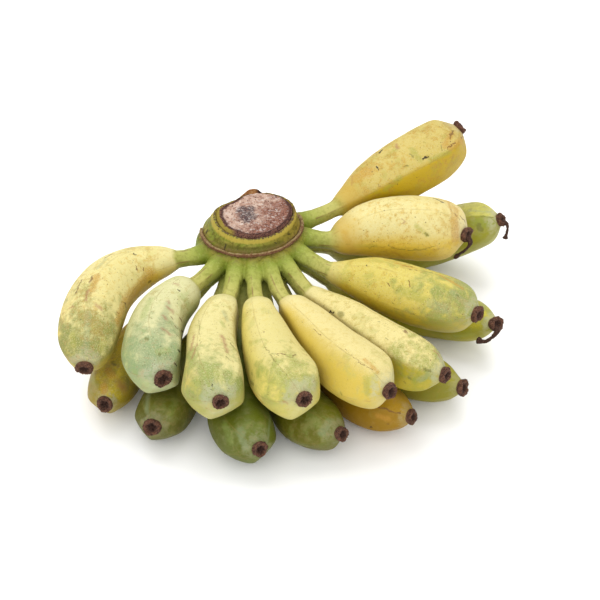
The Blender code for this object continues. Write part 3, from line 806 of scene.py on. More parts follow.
def shape_crown(obj, axes):
    """Adds the crown's fine relief, and the values that its material reads."""
    data = obj.data
    points = places_of(data)
    nearest = np.full(len(points), np.inf)
    past_root = np.zeros(len(points))
    for axis in axes.values():
        used = axis.samples < axis.root_at + STUB_LENGTH + SEAM_LENGTH
        gaps = np.linalg.norm(points[:, None] - axis.sample_points[used], axis=2)
        depth = gaps - axis.sample_radii[used]
        k = np.argmin(depth, axis=1)
        least = depth[np.arange(len(points)), k]
        closer = least < nearest
        nearest = np.where(closer, least, nearest)
        past_root = np.where(closer, axis.samples[used][k] - axis.root_at, past_root)
    stalk = smoothstep(past_root, -4.0, 3.0) * (1 - smoothstep(nearest, 1.2, 3.5))
    sloped = points[:, 2] - points[:, 0] * CROWN_SLOPE
    level = sloped
    for _ in range(LEVEL_PASSES):
        level = sloped - points[:, 1] * CUT_TILT * smoothstep(level, RIM_Z, CUT_Z)
    rise = (level - RIM_Z) / (CUT_Z - RIM_Z)
    normals = np.zeros(len(points) * 3, np.float32)
    data.vertices.foreach_get("normal", normals)
    normals = normals.reshape(-1, 3)
    bumps = 0.22 * relief(points, 9.0, 31) + 0.12 * relief(points, 3.0, 32)
    upright = relief(points * (1.0, 1.0, 0.22), 2.6, 33)
    bumps = bumps + 0.16 * upright * smoothstep(rise, 0.0, 0.4)
    calm = 1 - smoothstep(past_root, STUB_LENGTH - SEAM_LENGTH, STUB_LENGTH)
    points = points + normals * (bumps * calm)[:, None]
    data.vertices.foreach_set("co", ((points + CROWN_AT) * MM).astype(np.float32).ravel())
    data.update()
    bearing = np.arctan2(points[:, 1], points[:, 0] - CUT_SHIFT_X / 2)
    add_attributes(data, {
        "past_root": past_root,
        "stalk": stalk,
        "rise": rise,
        "bearing": np.stack([np.cos(bearing), np.sin(bearing), rise], -1),
    })


def scar_piece():
    """The bract's scar: a corky rib with a thinner second lip above it, both uneven."""
    rings, around = SCAR_RINGS, SCAR_SIDES
    bearings = np.radians(np.linspace(*SCAR_BEARINGS, rings))
    turn = turns(around)
    points = []
    for k, a in enumerate(bearings):
        way = Vector((math.cos(a), math.sin(a), 0))
        taper = min(1.0, 0.3 + min(k, rings - 1 - k) / 12)
        thick = SCAR_THICKNESS * taper * (1.05 + 0.3 * noise.noise(way * 4))
        rough = 1 + 0.25 * noise.noise(way * 26)
        lift = 0.55 * noise.noise(way * 2.2 + Vector((9, 0, 0)))
        lip = 1 + 0.45 * np.exp(-(((turn - 1.15) / 0.35) ** 2))
        radius = SCAR_RADIUS - 0.15 + thick * rough * lip * np.cos(turn) * 0.85
        x = radius * way.x + RIM_SHIFT_X
        y = radius * way.y * (CROWN_BACK_SHARE if way.y > 0 else CROWN_FRONT_SHARE)
        z = RIM_Z + x * CROWN_SLOPE + lift + thick * rough * lip * np.sin(turn)
        points.append(np.stack([x, y, z], -1))
    across = ringed_values(np.broadcast_to(np.sin(turn), (rings, around)))
    faces = flipped(tube_faces(rings, around))
    return mesh_object("scar_cork", with_middles(np.array(points)), faces, {"across": across})


def flipped(faces):
    return [face[::-1] for face in faces]


def cut_piece():
    """The dried cut: a torn, fibrous surface with a curled dark edge, closed underneath."""
    share = np.linspace(1.0, 0.015, CUT_RINGS)
    flat = np.array([crown_ring((CUT_RADIUS - 0.3) * q, CUT_Z, sides=CUT_SIDES) for q in share])
    q = np.broadcast_to(share[:, None], flat.shape[:2])
    x = (flat[..., 0] - CUT_SHIFT_X) / CUT_RADIUS
    y = flat[..., 1] / CUT_RADIUS
    dome = CUT_DOME * (1 - q**2) + smoothstep(y, -0.3, 0.9) * (1 - smoothstep(q, 0.75, 1.0))
    edge = CUT_EDGE * np.exp(-(((q - 0.93) / 0.05) ** 2))
    torn = 0.55 * relief(flat, 7.0, 41, 3) + 0.30 * relief(flat, 2.0, 42, 3)
    strands = 0.35 * relief(flat * (0.35, 1.0, 1.0), 1.6, 43)
    hollow = -CUT_HOLLOW * np.exp(-((x + 0.02) ** 2 + (y - 0.12) ** 2) / 0.07)
    raised = dome + edge + (torn + strands) * smoothstep(1 - q, 0.0, 0.06) + hollow - 0.3
    top = flat.copy()
    top[..., 2] += raised
    wall = crown_ring(CUT_RADIUS - 0.35, CUT_Z, raised=0.4 - CUT_DEPTH, sides=CUT_SIDES)[None]
    points = with_middles(np.concatenate([wall, top]))
    zone = np.stack([x, y, q], -1)
    zones = np.concatenate([zone[0], zone.reshape(-1, 3), [[0, 0, 0]], [[0, 0, 0]]])
    return mesh_object("cut_tissue", points, tube_faces(CUT_RINGS + 1, CUT_SIDES), {"zone": zones})


def flake_piece():
    """A brown flake of dried skin that curls up from the back of the cut."""
    columns, rows = FLAKE_COLUMNS, FLAKE_ROWS
    u = np.linspace(0, 1, columns)[:, None]
    v = np.linspace(0, 1, rows)[None]
    curl = 1.7 * v + 0.2 * np.sin(5 * u)
    wide = FLAKE_WIDTH * (0.12 + np.sin(np.pi * np.clip(u**1.5 * 0.94, 0, 1)) ** 0.7)
    x = FLAKE_X + FLAKE_LENGTH * (u - 0.5) + 0 * v
    y = FLAKE_Y - 0.03 * (x - CUT_SHIFT_X) ** 2 + wide * np.sin(curl) * 0.45
    z = CUT_Z - 0.3 + x * CROWN_SLOPE + FLAKE_FOOT_Y * CUT_TILT + wide * (1 - np.cos(curl)) * 0.8
    sheet = np.stack([x, y, z], -1)
    sheet[..., 2] += 0.35 * relief(sheet, 3.0, 51)
    normal = unit(np.cross(np.gradient(sheet, axis=0), np.gradient(sheet, axis=1)))
    rings = np.concatenate([sheet, (sheet + normal * FLAKE_THICKNESS)[:, ::-1]], axis=1)
    tone = np.concatenate([np.broadcast_to(u, (columns, rows * 2)).ravel(), [0.0, 1.0]])
    faces = tube_faces(columns, rows * 2)
    return mesh_object("cut_flake", with_middles(rings), faces, {"tone": tone})


# The dried blossom end: radius and height along the finger's axis, from the fruit outwards.
BLOSSOM_OUTLINE = np.array([
    (4.0, -1.2),
    (4.5, 0.0),
    (4.8, 1.2),
    (5.0, 2.2),
    (4.7, 3.2),
    (3.9, 3.7),
    (3.0, 3.5),
    (2.2, 2.9),
    (1.5, 2.6),
    (0.9, 2.8),
    (0.25, 3.1),
])
BLOSSOM_RINGS = 40
BLOSSOM_SIDES = 72


def blossom_piece(name, axis, seed):
    """A dried, crumpled cup with folds round its middle, and its style where it has one."""
    end = np.array([axis.length])
    along, right, up = (v[0] for v in axis.frames(end))
    middle = axis.point(end)[0]
    generator = np.random.default_rng(seed)
    run = np.linspace(0, len(BLOSSOM_OUTLINE) - 1, BLOSSOM_RINGS)
    outline = spline(np.arange(len(BLOSSOM_OUTLINE)), BLOSSOM_OUTLINE, run)
    angles = turns(BLOSSOM_SIDES)
    size = generator.uniform(0.92, 1.08)
    phase = generator.uniform(0, 2 * np.pi, 3)
    radius = outline[:, :1] * size
    height = np.broadcast_to(outline[:, 1:], (BLOSSOM_RINGS, BLOSSOM_SIDES)).copy()
    oval = 1 + 0.05 * np.cos(2 * angles + phase[0]) + 0.03 * np.cos(3 * angles + phase[1])
    inner = smoothstep(np.arange(BLOSSOM_RINGS)[:, None], BLOSSOM_RINGS * 0.5, BLOSSOM_RINGS * 0.7)
    folds = np.abs(np.cos(2.5 * angles + phase[2]))
    middle_fade = smoothstep(radius, 0.3, 1.6)
    height -= inner * middle_fade * 1.1 * folds**3
    height += 0.35 * np.cos(3 * angles + phase[1]) * smoothstep(run, 2.0, 5.0)[:, None]
    tilt = generator.uniform(-0.12, 0.12, 2)
    spread = radius * oval
    local = np.stack([spread * np.cos(angles), spread * np.sin(angles), height], -1)
    local[..., 2] += local[..., 0] * tilt[0] + local[..., 1] * tilt[1]
    crumple = 0.5 * relief(local, 2.2, seed, 3) + 0.4 * relief(local, 0.9, seed + 5, 2)
    outwards = unit(local - (0, 0, 1.2))
    free = smoothstep(run, 0.6, 2.0)[:, None] * smoothstep(radius, 0.1, 0.8)
    local = local + outwards * (crumple * free)[..., None]
    points = with_middles(local)
    faces = tube_faces(BLOSSOM_RINGS, BLOSSOM_SIDES)
    depths = ringed_values(np.broadcast_to(run[:, None] / run[-1], height.shape))
    if name in STYLES:
        style = with_middles(style_rings(STYLES[name], seed))
        faces += tube_faces(STYLE_RINGS, STYLE_SIDES, len(points))
        points = np.concatenate([points, style])
        depths = np.concatenate([depths, np.full(len(style), STYLE_DEPTH)])
    points = middle + points @ np.array([up, right, along])
    return mesh_object("blossom_" + name, points, flipped(faces), {"depth": depths})


def style_rings(points, seed):
    """A withered strand: a twisted, flattened tube that swells into a knob at its end."""
    points = np.array(points, float)
    chord = run_along(points)
    s = np.linspace(0, chord[-1], STYLE_RINGS)
    line = spline(chord, points, s)
    ahead = unit(np.gradient(line, axis=0))
    side = unit(np.cross(ahead, (0.3, 0.1, 1.0)))
    top = np.cross(side, ahead)
    share = s / chord[-1]
    knob = np.exp(-(((share - 0.93) / 0.09) ** 2))
    radius = blend(STYLE_ROOT, STYLE_RADIUS, smoothstep(share, 0, 0.5)) + STYLE_RADIUS * knob
    radius = radius * np.sqrt(np.clip((1.0 - share) / 0.03, 0.05, 1))
    angles = turns(STYLE_SIDES)[None] + STYLE_TWIST * share[:, None]
    wide = radius[:, None] * np.cos(angles) * 1.25
    high = radius[:, None] * np.sin(angles) * 0.75
    tube = line[:, None] + wide[..., None] * side[:, None] + high[..., None] * top[:, None]
    crumple = 0.4 * relief(tube, 1.6, seed + 9, 3)
    return tube + unit(tube - line[:, None]) * crumple[..., None]


def linear(colour):
    """Red, green and blue of 255 as the shader's linear colour."""
    share = np.array(colour, float) / 255
    made = np.where(share <= 0.04045, share / 12.92, ((share + 0.055) / 1.055) ** 2.4)
    return (*made, 1.0)


class Shader:
    """A material's nodes, added by calls that read like the sum that they make."""

    def __init__(self, name):
        self.material = bpy.data.materials.new(name)
        self.material.use_nodes = True
        self.tree = self.material.node_tree
        self.surface = self.tree.nodes["Principled BSDF"]
        self.colour = None

    def put(self, socket, value):
        if isinstance(value, bpy.types.NodeSocket):
            self.tree.links.new(value, socket)
        else:
            socket.default_value = value

    def node(self, kind, inputs, **settings):
        made = self.tree.nodes.new("ShaderNode" + kind)
        for key, value in settings.items():
            setattr(made, key, value)
        for key, value in inputs.items():
            self.put(made.inputs[key], value)
        return made

    def sum(self, operation, a, b=0.0, clamp=False):
        made = self.node("Math", {0: a, 1: b}, operation=operation, use_clamp=clamp)
        return made.outputs[0]

    def times(self, *values):
        made = values[0]
        for value in values[1:]:
            made = self.sum("MULTIPLY", made, value)
        return made

    def plus(self, *values):
        made = values[0]
        for value in values[1:]:
            made = self.sum("ADD", made, value)
        return made

    def swing(self, value, width):
        """A noise's departure from its middle, width times as wide."""
        return self.times(self.plus(value, -0.5), width)

    def vectors(self, operation, inputs, output=0):
        return self.node("VectorMath", inputs, operation=operation).outputs[output]

    def place(self):
        """The place on the piece, in millimetres."""
        at = self.node("TexCoord", {}).outputs["Object"]
        return self.vectors("SCALE", {0: at, "Scale": 1 / MM})

    def stretched(self, vector, scale):
        return self.vectors("MULTIPLY", {0: vector, 1: scale})

    def value(self, name):
        return self.node("Attribute", {}, attribute_name=name).outputs["Fac"]

    def vector(self, name):
        return self.node("Attribute", {}, attribute_name=name).outputs["Vector"]

    def parts(self, vector):
        return self.node("SeparateXYZ", {0: vector}).outputs

    def noise(self, at, scale, detail=3.0, roughness=0.55, distortion=0.0):
        inputs = {"Scale": scale, "Detail": detail, "Roughness": roughness}
        inputs.update({"Vector": at, "Distortion": distortion})
        return self.node("TexNoise", inputs).outputs[0]

    def jittered(self, at, scale, size):
        """Places shifted at random, by up to about size millimetres, in a smooth way."""
        shift = self.node("TexNoise", {"Vector": at, "Scale": scale, "Detail": 2.0}).outputs["Color"]
        shift = self.vectors("SUBTRACT", {0: shift, 1: (0.5, 0.5, 0.5)})
        return self.vectors("ADD", {0: at, 1: self.vectors("SCALE", {0: shift, "Scale": 2 * size})})

    def cells(self, at, scale):
        """Distance to the nearest cell's middle, and that cell's own random value."""
        made = self.node("TexVoronoi", {"Vector": at, "Scale": scale})
        return made.outputs["Distance"], self.parts(made.outputs["Color"])[0]

    def ramp(self, value, low, high):
        """0 below low and 1 above high, or the other way round where low is the higher."""
        reverse = low > high
        inputs = {0: value, 1: min(low, high), 2: max(low, high)}
        inputs.update({3: 1.0, 4: 0.0} if reverse else {3: 0.0, 4: 1.0})
        return self.node("MapRange", inputs, interpolation_type="SMOOTHSTEP").outputs[0]

    def layer(self, under, over, *shares):
        """One colour over another, by the product of the shares."""
        made = self.node("Mix", {}, data_type="RGBA", clamp_factor=True)
        self.put(made.inputs[0], self.times(*shares))
        for socket, colour in ((6, under), (7, over)):
            known = isinstance(colour, bpy.types.NodeSocket)
            self.put(made.inputs[socket], colour if known else linear(colour))
        return made.outputs[2]

    def paint(self, over, *shares):
        """Lays a colour over the piece's own."""
        self.colour = self.layer(self.colour, over, *shares)

    def strokes(self, at, strokes):
        """How far the nearest stroke is, in shares of its half width."""
        nearest = 9.0
        for _, width, start, end in strokes:
            start, run = start + CROWN_AT, end - start
            gap = self.vectors("SUBTRACT", {0: at, 1: tuple(start)})
            along = tuple(run / max(run @ run, 1e-6))
            share = self.vectors("DOT_PRODUCT", {0: gap, 1: along}, "Value")
            share = self.sum("MULTIPLY", share, 1.0, clamp=True)
            foot = self.vectors("SCALE", {0: tuple(run), "Scale": share})
            off = self.vectors("DISTANCE", {0: gap, 1: foot}, "Value")
            nearest = self.sum("MINIMUM", self.times(off, 1.0 / width), nearest)
        return nearest

    def specks(self, at, scale, size, amount):
        """Small round spots, a share of the cells having one, each of its own size."""
        distance, own = self.cells(at, scale)
        chosen = self.ramp(own, 1.0 - amount, 1.0)
        return self.ramp(self.sum("DIVIDE", distance, self.plus(self.times(chosen, size), 1e-4)), 1.0, 0.6)

    def finish(self, roughness, height, depth, specular):
        """Sets the surface; height is the relief in shares of depth, which is millimetres."""
        shaded = self.vectors("SCALE", {0: self.colour, "Scale": SHADE})
        self.put(self.surface.inputs["Base Color"], shaded)
        self.put(self.surface.inputs["Roughness"], roughness)
        self.surface.inputs["Specular IOR Level"].default_value = specular
        bump = self.node("Bump", {"Strength": 1.0, "Distance": depth * MM, "Height": height})
        self.put(self.surface.inputs["Normal"], bump.outputs[0])
        return self.material


def stalk_colour(shader, at, past_root, ridge):
    """Fresh green at the root, yellower and paler towards the fruit, with brown edges."""
    cloud = shader.noise(at, 0.14, 4.0)
    grain = shader.noise(at, 0.9, 4.0, 0.65)
    lines = shader.noise(at, 0.4, 3.0, 0.6)
    colour = shader.layer((132, 154, 34), (186, 192, 90), shader.ramp(past_root, -4.0, 10.0))
    colour = shader.layer(colour, (212, 204, 112), shader.ramp(past_root, 8.0, 22.0), 0.8)
    colour = shader.layer(colour, (150, 156, 50), shader.ramp(cloud, 0.50, 0.72), 0.55)
    colour = shader.layer(colour, (226, 222, 140), shader.ramp(grain, 0.5, 0.72), 0.35)
    colour = shader.layer(colour, (136, 138, 50), shader.ramp(lines, 0.5, 0.38), 0.35)
    if ridge is not None:
        brown = shader.times(shader.ramp(ridge, 0.6, 1.0), shader.ramp(cloud, 0.35, 0.6), 0.7)
        colour = shader.layer(colour, (148, 110, 70), brown)
    spots = shader.specks(at, 0.25, 0.10, 0.3)
    return shader.layer(colour, (104, 84, 48), spots, 0.7)


def peel_material(name, look, strokes):
    """Ripening peel: yellow over green, waxy, with specks, scuffs, marks and ridge lines. Part of
    its flank colour is painted shade, as are its darker underside and part of the tint where
    fruits touch; its very bottom has painted floor light.
    """
    shader = Shader("peel_" + name)
    at = shader.place()
    flow = shader.vector("flow")
    share = shader.value("share")
    light_peel = look.top[0] > LIGHT_PEEL
    past_root = shader.value("past_root")
    up = shader.value("up")
    ridge = shader.value("ridge")
    touch = shader.value("touch")

    cloud = shader.noise(at, 0.035, 3.0)
    patch = shader.noise(at, 0.11, 5.0, 0.6, 0.4)
    blot = shader.noise(at, 0.30, 5.0, 0.65, 0.6)
    grain = shader.noise(at, 1.6, 4.0, 0.6)
    fine = shader.noise(at, 4.0, 2.0, 0.6)
    streak = shader.noise(shader.stretched(flow, (0.45, 0.45, 0.07)), 1.0, 4.0, 0.6)
    fibre = shader.noise(shader.stretched(flow, (1.6, 1.6, 0.12)), 1.0, 3.0, 0.6)

    wander = shader.plus(shader.swing(cloud, 0.5), shader.swing(patch, 0.3))
    low = shader.plus(shader.value("low"), wander)
    # Top and flank colours, blended round the ring: the paler top is partly painted light and the deeper,
    # more saturated flank partly painted shade, over the peel's own colour.
    shader.colour = shader.layer(look.top, look.flank, shader.ramp(low, 0.0, 1.0))
    shader.paint(look.flank, shader.ramp(blot, 0.48, 0.66), 0.35)

    uneven = shader.plus(
        shader.swing(streak, 0.2), shader.swing(patch, 1.5), shader.swing(blot, 0.35)
    )
    tip = shader.ramp(shader.plus(share, uneven), look.green_from - 0.1, look.green_from + 0.40)
    shader.paint(look.tip, tip, 0.9)
    green = shader.ramp(shader.plus(patch, shader.swing(cloud, 0.5)), 0.52, 0.66)
    placed = shader.ramp(shader.plus(shader.value("green"), shader.swing(blot, 1.6)), 0.2, 1.2)
    green = shader.sum("MAXIMUM", shader.times(green, look.patches), placed)
    shader.paint(shader.layer(look.flank, (150, 176, 84), 0.7), green, 0.6)

    waxy = shader.ramp(shader.plus(shader.value("wax"), shader.swing(patch, 0.9)), 0.2, 1.1)
    shader.paint((158, 176, 132), waxy, 0.45)
    bloom = shader.times(shader.ramp(shader.plus(blot, wander), 0.42, 0.7), shader.ramp(share, 0.3, 0.95))
    shader.paint(shader.layer(look.tip, (226, 236, 214), 0.55), bloom, 0.6 * look.bloom)
    collar = shader.ramp(shader.plus(share, shader.times(uneven, 0.06)), 0.95, 0.985)
    whitish = shader.layer(look.tip, (236, 236, 210), 0.6 if light_peel else 0.25)
    shader.paint(whitish, collar, shader.ramp(blot, 0.3, 0.55), 0.7)

    scuffed = shader.plus(shader.value("tan"), shader.swing(blot, 1.4))
    gold = shader.times(shader.ramp(shader.plus(blot, wander), 0.50, 0.68), 0.55 * look.tan)
    tan = shader.sum("MAXIMUM", shader.times(shader.ramp(scuffed, 0.2, 1.1), 0.8), gold)
    shader.paint((226, 166, 58), tan, 0.75)
    speckled = shader.times(shader.ramp(fine, 0.54, 0.66), shader.ramp(shader.plus(tan, blot), 0.48, 0.95))
    shader.paint((150, 102, 46), speckled, 0.75)
    pale = shader.layer(look.top, (255, 252, 224), 0.35 if light_peel else 0.08)
    shader.paint(pale, shader.ramp(grain, 0.48, 0.68), shader.ramp(low, 1.1, 0.2), 0.5)
    murky = shader.layer(look.flank, (150, 120, 30), 0.4)
    shader.paint(murky, shader.ramp(fine, 0.5, 0.36), 0.4)

    line = shader.times(shader.ramp(ridge, 0.90, 1.0), shader.ramp(fibre, 0.38, 0.58))
    shader.paint((166, 140, 72), line, 0.45)
    turned = shader.node("VectorRotate", {"Vector": at, "Angle": 0.8}, rotation_type="Z_AXIS").outputs[0]
    distance, own = shader.cells(shader.stretched(turned, (0.75, 0.16, 0.5)), 1.0)
    scratch = shader.times(shader.ramp(distance, 0.17, 0.06), shader.ramp(own, 0.62, 0.72))
    shader.paint((124, 92, 50), scratch, 0.8 * look.scratches)
    spots = shader.specks(at, 0.30, 0.15, 0.3)
    shader.paint((92, 68, 36), spots, 0.9 * look.specks)
    dots = shader.specks(at, 0.85, 0.30, 0.6)
    shader.paint((140, 104, 44), dots, 0.75 * look.specks)

    ragged = shader.jittered(at, 0.35, 1.8)
    for kind, (tone, cover) in SHARP_MARKS.items():
        drawn = [stroke for stroke in strokes if stroke[0] == kind]
        if drawn:
            soft = 1.4 if kind == "rosy" else 0.5
            off = shader.plus(shader.strokes(ragged, drawn), shader.times(blot, 2.0))
            drawn = shader.ramp(off, 2.0 + soft, 2.0 - soft)
            shader.paint(tone, drawn, cover)

    # Where another fruit presses close, a golden-brown tint: partly rubbed peel, partly painted contact
    # shade.
    rub_and_contact_shade = shader.times(shader.ramp(touch, 0.2, 1.0), shader.ramp(patch, 0.3, 0.55))
    shader.paint((190, 142, 44), rub_and_contact_shade, 0.45 if light_peel else 0.2)
    # Painted shade: the lower side of each fruit takes the deeper flank colour, in patches.
    painted_underside_shade = shader.times(shader.ramp(up, 0.25, -0.35), shader.ramp(patch, 0.3, 0.6))
    shader.paint(look.flank, painted_underside_shade, 0.5)
    # Painted floor light: the very bottom of the fruit, towards the tip, is paled as if lit from the white
    # floor.
    under = shader.times(shader.ramp(up, -0.6, -0.9), shader.ramp(share, 0.4, 0.7))
    shader.paint(pale, under, 0.2)

    neck = shader.plus(share, shader.swing(patch, 0.03))
    if name in GRADUAL_NECKS:
        change = 0.05
        shader.paint((222, 186, 78), shader.ramp(neck, 0.24, 0.08), 0.75)
    else:
        change = 0.012
        cream = shader.layer(look.top, (236, 230, 172), 0.5)
        shader.paint(cream, shader.ramp(neck, 0.14, 0.03), 0.5)
    stalk = stalk_colour(shader, at, past_root, ridge)
    shader.paint(stalk, shader.ramp(neck, NECK_LINE + change, NECK_LINE - change))

    height = shader.plus(
        shader.times(grain, 0.5), shader.times(fine, 0.25), shader.times(fibre, 0.25),
        shader.times(patch, 1.2), shader.times(shader.plus(spots, dots), 0.25),
        shader.times(scratch, -0.35),
    )
    rough = shader.plus(0.42, shader.times(grain, 0.18), shader.times(tan, 0.12), shader.times(collar, 0.1))
    return shader.finish(rough, height, 0.24, 0.22)


def crown_material():
    """Green skin over the cushion, a yellow stripe under the cut, and green stalk roots."""
    shader = Shader("crown_peel")
    at = shader.place()
    past_root = shader.value("past_root")
    stalk = shader.value("stalk")
    rise = shader.value("rise")
    around = shader.parts(shader.vector("bearing"))
    cloud = shader.noise(at, 0.09, 4.0, 0.6, 0.4)
    blot = shader.noise(at, 0.35, 4.0, 0.65, 0.6)
    grain = shader.noise(at, 1.5, 4.0, 0.65)
    upright = shader.noise(shader.stretched(at, (0.9, 0.9, 0.12)), 1.0, 3.0)

    shader.colour = shader.layer((140, 148, 44), (170, 160, 66), shader.ramp(cloud, 0.42, 0.6))
    shader.paint((172, 146, 54), shader.ramp(around[0], 0.0, 0.9), 0.75)
    shader.paint((100, 92, 12), shader.ramp(blot, 0.46, 0.62), 0.75)
    olive = shader.times(shader.ramp(rise, 0.02, 0.14), shader.ramp(rise, 0.62, 0.36))
    olive = shader.times(olive, shader.ramp(around[1], -0.4, -0.9))
    shader.paint((92, 88, 0), olive, shader.ramp(cloud, 0.3, 0.5), 0.85)
    wobble = shader.plus(rise, shader.swing(upright, 0.2))
    stripe = shader.times(shader.ramp(wobble, 0.66, 0.8), shader.ramp(wobble, 1.0, 0.92))
    shader.paint((208, 184, 76), stripe, 0.85)
    shader.paint((96, 66, 50), shader.ramp(wobble, 0.95, 1.0), 0.9)
    beside = shader.times(shader.ramp(rise, -0.3, -0.12), shader.ramp(rise, 0.3, 0.1))
    shader.paint((158, 128, 78), beside, shader.ramp(blot, 0.35, 0.6), 0.6)
    shader.paint((130, 152, 34), shader.ramp(rise, -0.2, -0.7), 0.9)
    spots = shader.specks(at, 0.26, 0.2, 0.35)
    shader.paint((70, 52, 30), spots, 0.85)
    dots = shader.specks(at, 0.9, 0.25, 0.4)
    shader.paint((98, 84, 30), dots, 0.45)
    shader.paint((198, 190, 112), shader.ramp(grain, 0.54, 0.72), 0.35)
    nicks = shader.strokes(shader.jittered(at, 0.8, 0.6), crown_scars())
    shader.paint((50, 38, 22), shader.ramp(nicks, 1.4, 0.6), 0.85)
    shader.paint(stalk_colour(shader, at, past_root, None), stalk)

    height = shader.plus(shader.times(grain, 0.6), shader.times(upright, 0.8), shader.times(blot, 0.9))
    return shader.finish(shader.plus(0.45, shader.times(grain, 0.2)), height, 0.3, 0.2)


def crown_scars():
    """The nicks as strokes, with their ends as places on the flank."""
    made = []
    for width, first, high, last, low in NICKS:
        ends = []
        for degrees, rise in ((first, high), (last, low)):
            radius = blend(RIM_RADIUS - 1.0, CUT_RADIUS + 1.6, rise)
            ring = crown_ring(radius, blend(RIM_Z, CUT_Z, rise), sides=360)
            ends.append(ring[degrees])
        made.append(("nick", width, *ends))
    return made


def cork_material():
    """The bract's scar: pinkish brown cork with a paler line along its top."""
    shader = Shader("scar_cork")
    at = shader.place()
    across = shader.value("across")
    blot = shader.noise(at, 0.5, 4.0, 0.65)
    grain = shader.noise(at, 2.2, 4.0, 0.7)
    shader.colour = shader.layer((146, 102, 72), (178, 134, 102), shader.ramp(blot, 0.4, 0.62))
    pale = shader.times(shader.ramp(across, 0.62, 0.8), shader.ramp(blot, 0.35, 0.55))
    shader.paint((196, 180, 122), pale, 0.6)
    shader.paint((96, 62, 44), shader.ramp(across, 0.5, 0.3), shader.ramp(across, 0.1, 0.3), 0.7)
    shader.paint((58, 38, 28), shader.ramp(grain, 0.54, 0.66), 0.75)
    height = shader.plus(grain, blot)
    return shader.finish(0.85, height, 0.45, 0.15)


def cut_material():
    """Dried pith: pale pinkish beige, red-brown to the right, with dark dots and border."""
    shader = Shader("cut_tissue")
    at = shader.place()
    zone = shader.parts(shader.vector("zone"))
    x, y, q = zone[0], zone[1], zone[2]
    blot = shader.noise(at, 0.16, 5.0, 0.65, 0.6)
    grain = shader.noise(at, 1.1, 5.0, 0.75)
    coarse = shader.noise(at, 0.5, 5.0, 0.75)
    strands = shader.noise(shader.stretched(at, (0.25, 1.0, 0.6)), 1.0, 4.0, 0.65)
    shader.colour = shader.layer((246, 212, 190), (214, 170, 148), shader.ramp(blot, 0.4, 0.6))
    right = shader.plus(
        x, shader.times(y, -0.75), shader.swing(blot, 1.5), shader.times(strands, 0.3)
    )
    shader.paint((176, 122, 102), shader.ramp(right, 0.1, 0.9), 0.95)
    speckle = shader.ramp(grain, 0.50, 0.58)
    shader.paint((100, 58, 54), speckle, shader.ramp(right, -0.3, 0.8), 0.85)
    brown = shader.times(shader.ramp(coarse, 0.53, 0.60), shader.ramp(right, 1.2, -0.4))
    shader.paint((126, 82, 66), brown, 0.8)
    middle = shader.noise(at, 0.2, 4.0)
    dark = shader.plus(
        shader.times(shader.sum("POWER", shader.plus(x, 0.20), 2.0), 14.0),
        shader.times(shader.sum("POWER", shader.plus(y, 0.14), 2.0), 8.0),
        shader.swing(middle, 2.5),
    )
    dusk = shader.times(shader.ramp(dark, 1.3, 0.3), shader.ramp(grain, 0.66, 0.5))
    shader.paint((62, 56, 70), dusk, 0.85)
    dots = shader.specks(at, 0.6, 0.3, 0.6)
    shader.paint((66, 40, 38), dots, 0.9)
    pale = shader.times(shader.ramp(strands, 0.50, 0.60), shader.ramp(coarse, 0.54, 0.44))
    shader.paint((255, 244, 234), pale, 0.75)
    rim = shader.plus(q, shader.swing(blot, 0.16), shader.times(x, -0.06))
    rim = shader.plus(rim, shader.times(shader.ramp(y, 0.2, 0.7), -0.12))
    border = shader.ramp(rim, 0.80, 0.92)
    shader.paint((136, 94, 78), border, 0.95)
    shader.paint((74, 48, 46), border, shader.ramp(grain, 0.48, 0.56))
    edge = shader.times(shader.ramp(rim, 0.85, 0.87), shader.ramp(rim, 0.93, 0.90))
    shader.paint((60, 38, 40), edge, 0.6)
    outer = shader.times(shader.ramp(rim, 0.95, 0.99), shader.ramp(x, -0.42, -0.62))
    shader.paint((184, 164, 70), outer, 0.9)
    height = shader.plus(grain, shader.times(coarse, 1.2), strands, shader.times(dots, -0.6))
    return shader.finish(0.92, height, 0.7, 0.12)


def flake_material():
    shader = Shader("cut_flake")
    at = shader.place()
    tone = shader.value("tone")
    grain = shader.noise(at, 0.9, 4.0, 0.65)
    shader.colour = shader.layer((172, 112, 62), (206, 160, 108), shader.ramp(grain, 0.4, 0.65))
    shader.paint((62, 40, 34), shader.ramp(shader.plus(tone, shader.times(grain, 0.3)), 0.8, 1.05))
    return shader.finish(0.9, grain, 0.4, 0.12)


def blossom_material():
    """Dried blossom: purple-brown crumpled rim, nearly black in the cup."""
    shader = Shader("dried_blossom")
    at = shader.place()
    depth = shader.value("depth")
    blot = shader.noise(at, 0.5, 4.0, 0.65, 0.6)
    grain = shader.noise(at, 1.8, 5.0, 0.7)
    shader.colour = shader.layer((128, 84, 62), (88, 56, 42), shader.ramp(blot, 0.4, 0.6))
    shader.paint((62, 38, 28), shader.ramp(depth, 0.5, 0.72), 0.8)
    flecks = shader.times(shader.ramp(grain, 0.54, 0.64), shader.ramp(depth, 0.85, 0.6))
    shader.paint((176, 136, 108), flecks, 0.7)
    shader.paint((40, 22, 22), shader.ramp(grain, 0.47, 0.38), 0.8)
    foot = shader.ramp(depth, 0.14, 0.04)
    shader.paint((176, 136, 84), foot, 0.8)
    height = shader.plus(grain, shader.times(blot, 1.5))
    return shader.finish(0.8, height, 0.6, 0.25)


def floor_piece():
    """The plain pale surface that the hand stands on."""
    r = FLOOR_REACH
    data = bpy.data.meshes.new("floor")
    corners = [(-r, -r, 0), (r, -r, 0), (r, r, 0), (-r, r, 0)]
    data.from_pydata(corners, [], [(0, 1, 2, 3)])
    floor = linked("floor", data)
    shader = Shader("floor_paper")
    shader.surface.inputs["Base Color"].default_value = (FLOOR_TONE, FLOOR_TONE, FLOOR_TONE, 1)
    shader.surface.inputs["Roughness"].default_value = 0.95
    shader.surface.inputs["Specular IOR Level"].default_value = 0.1
    data.materials.append(shader.material)


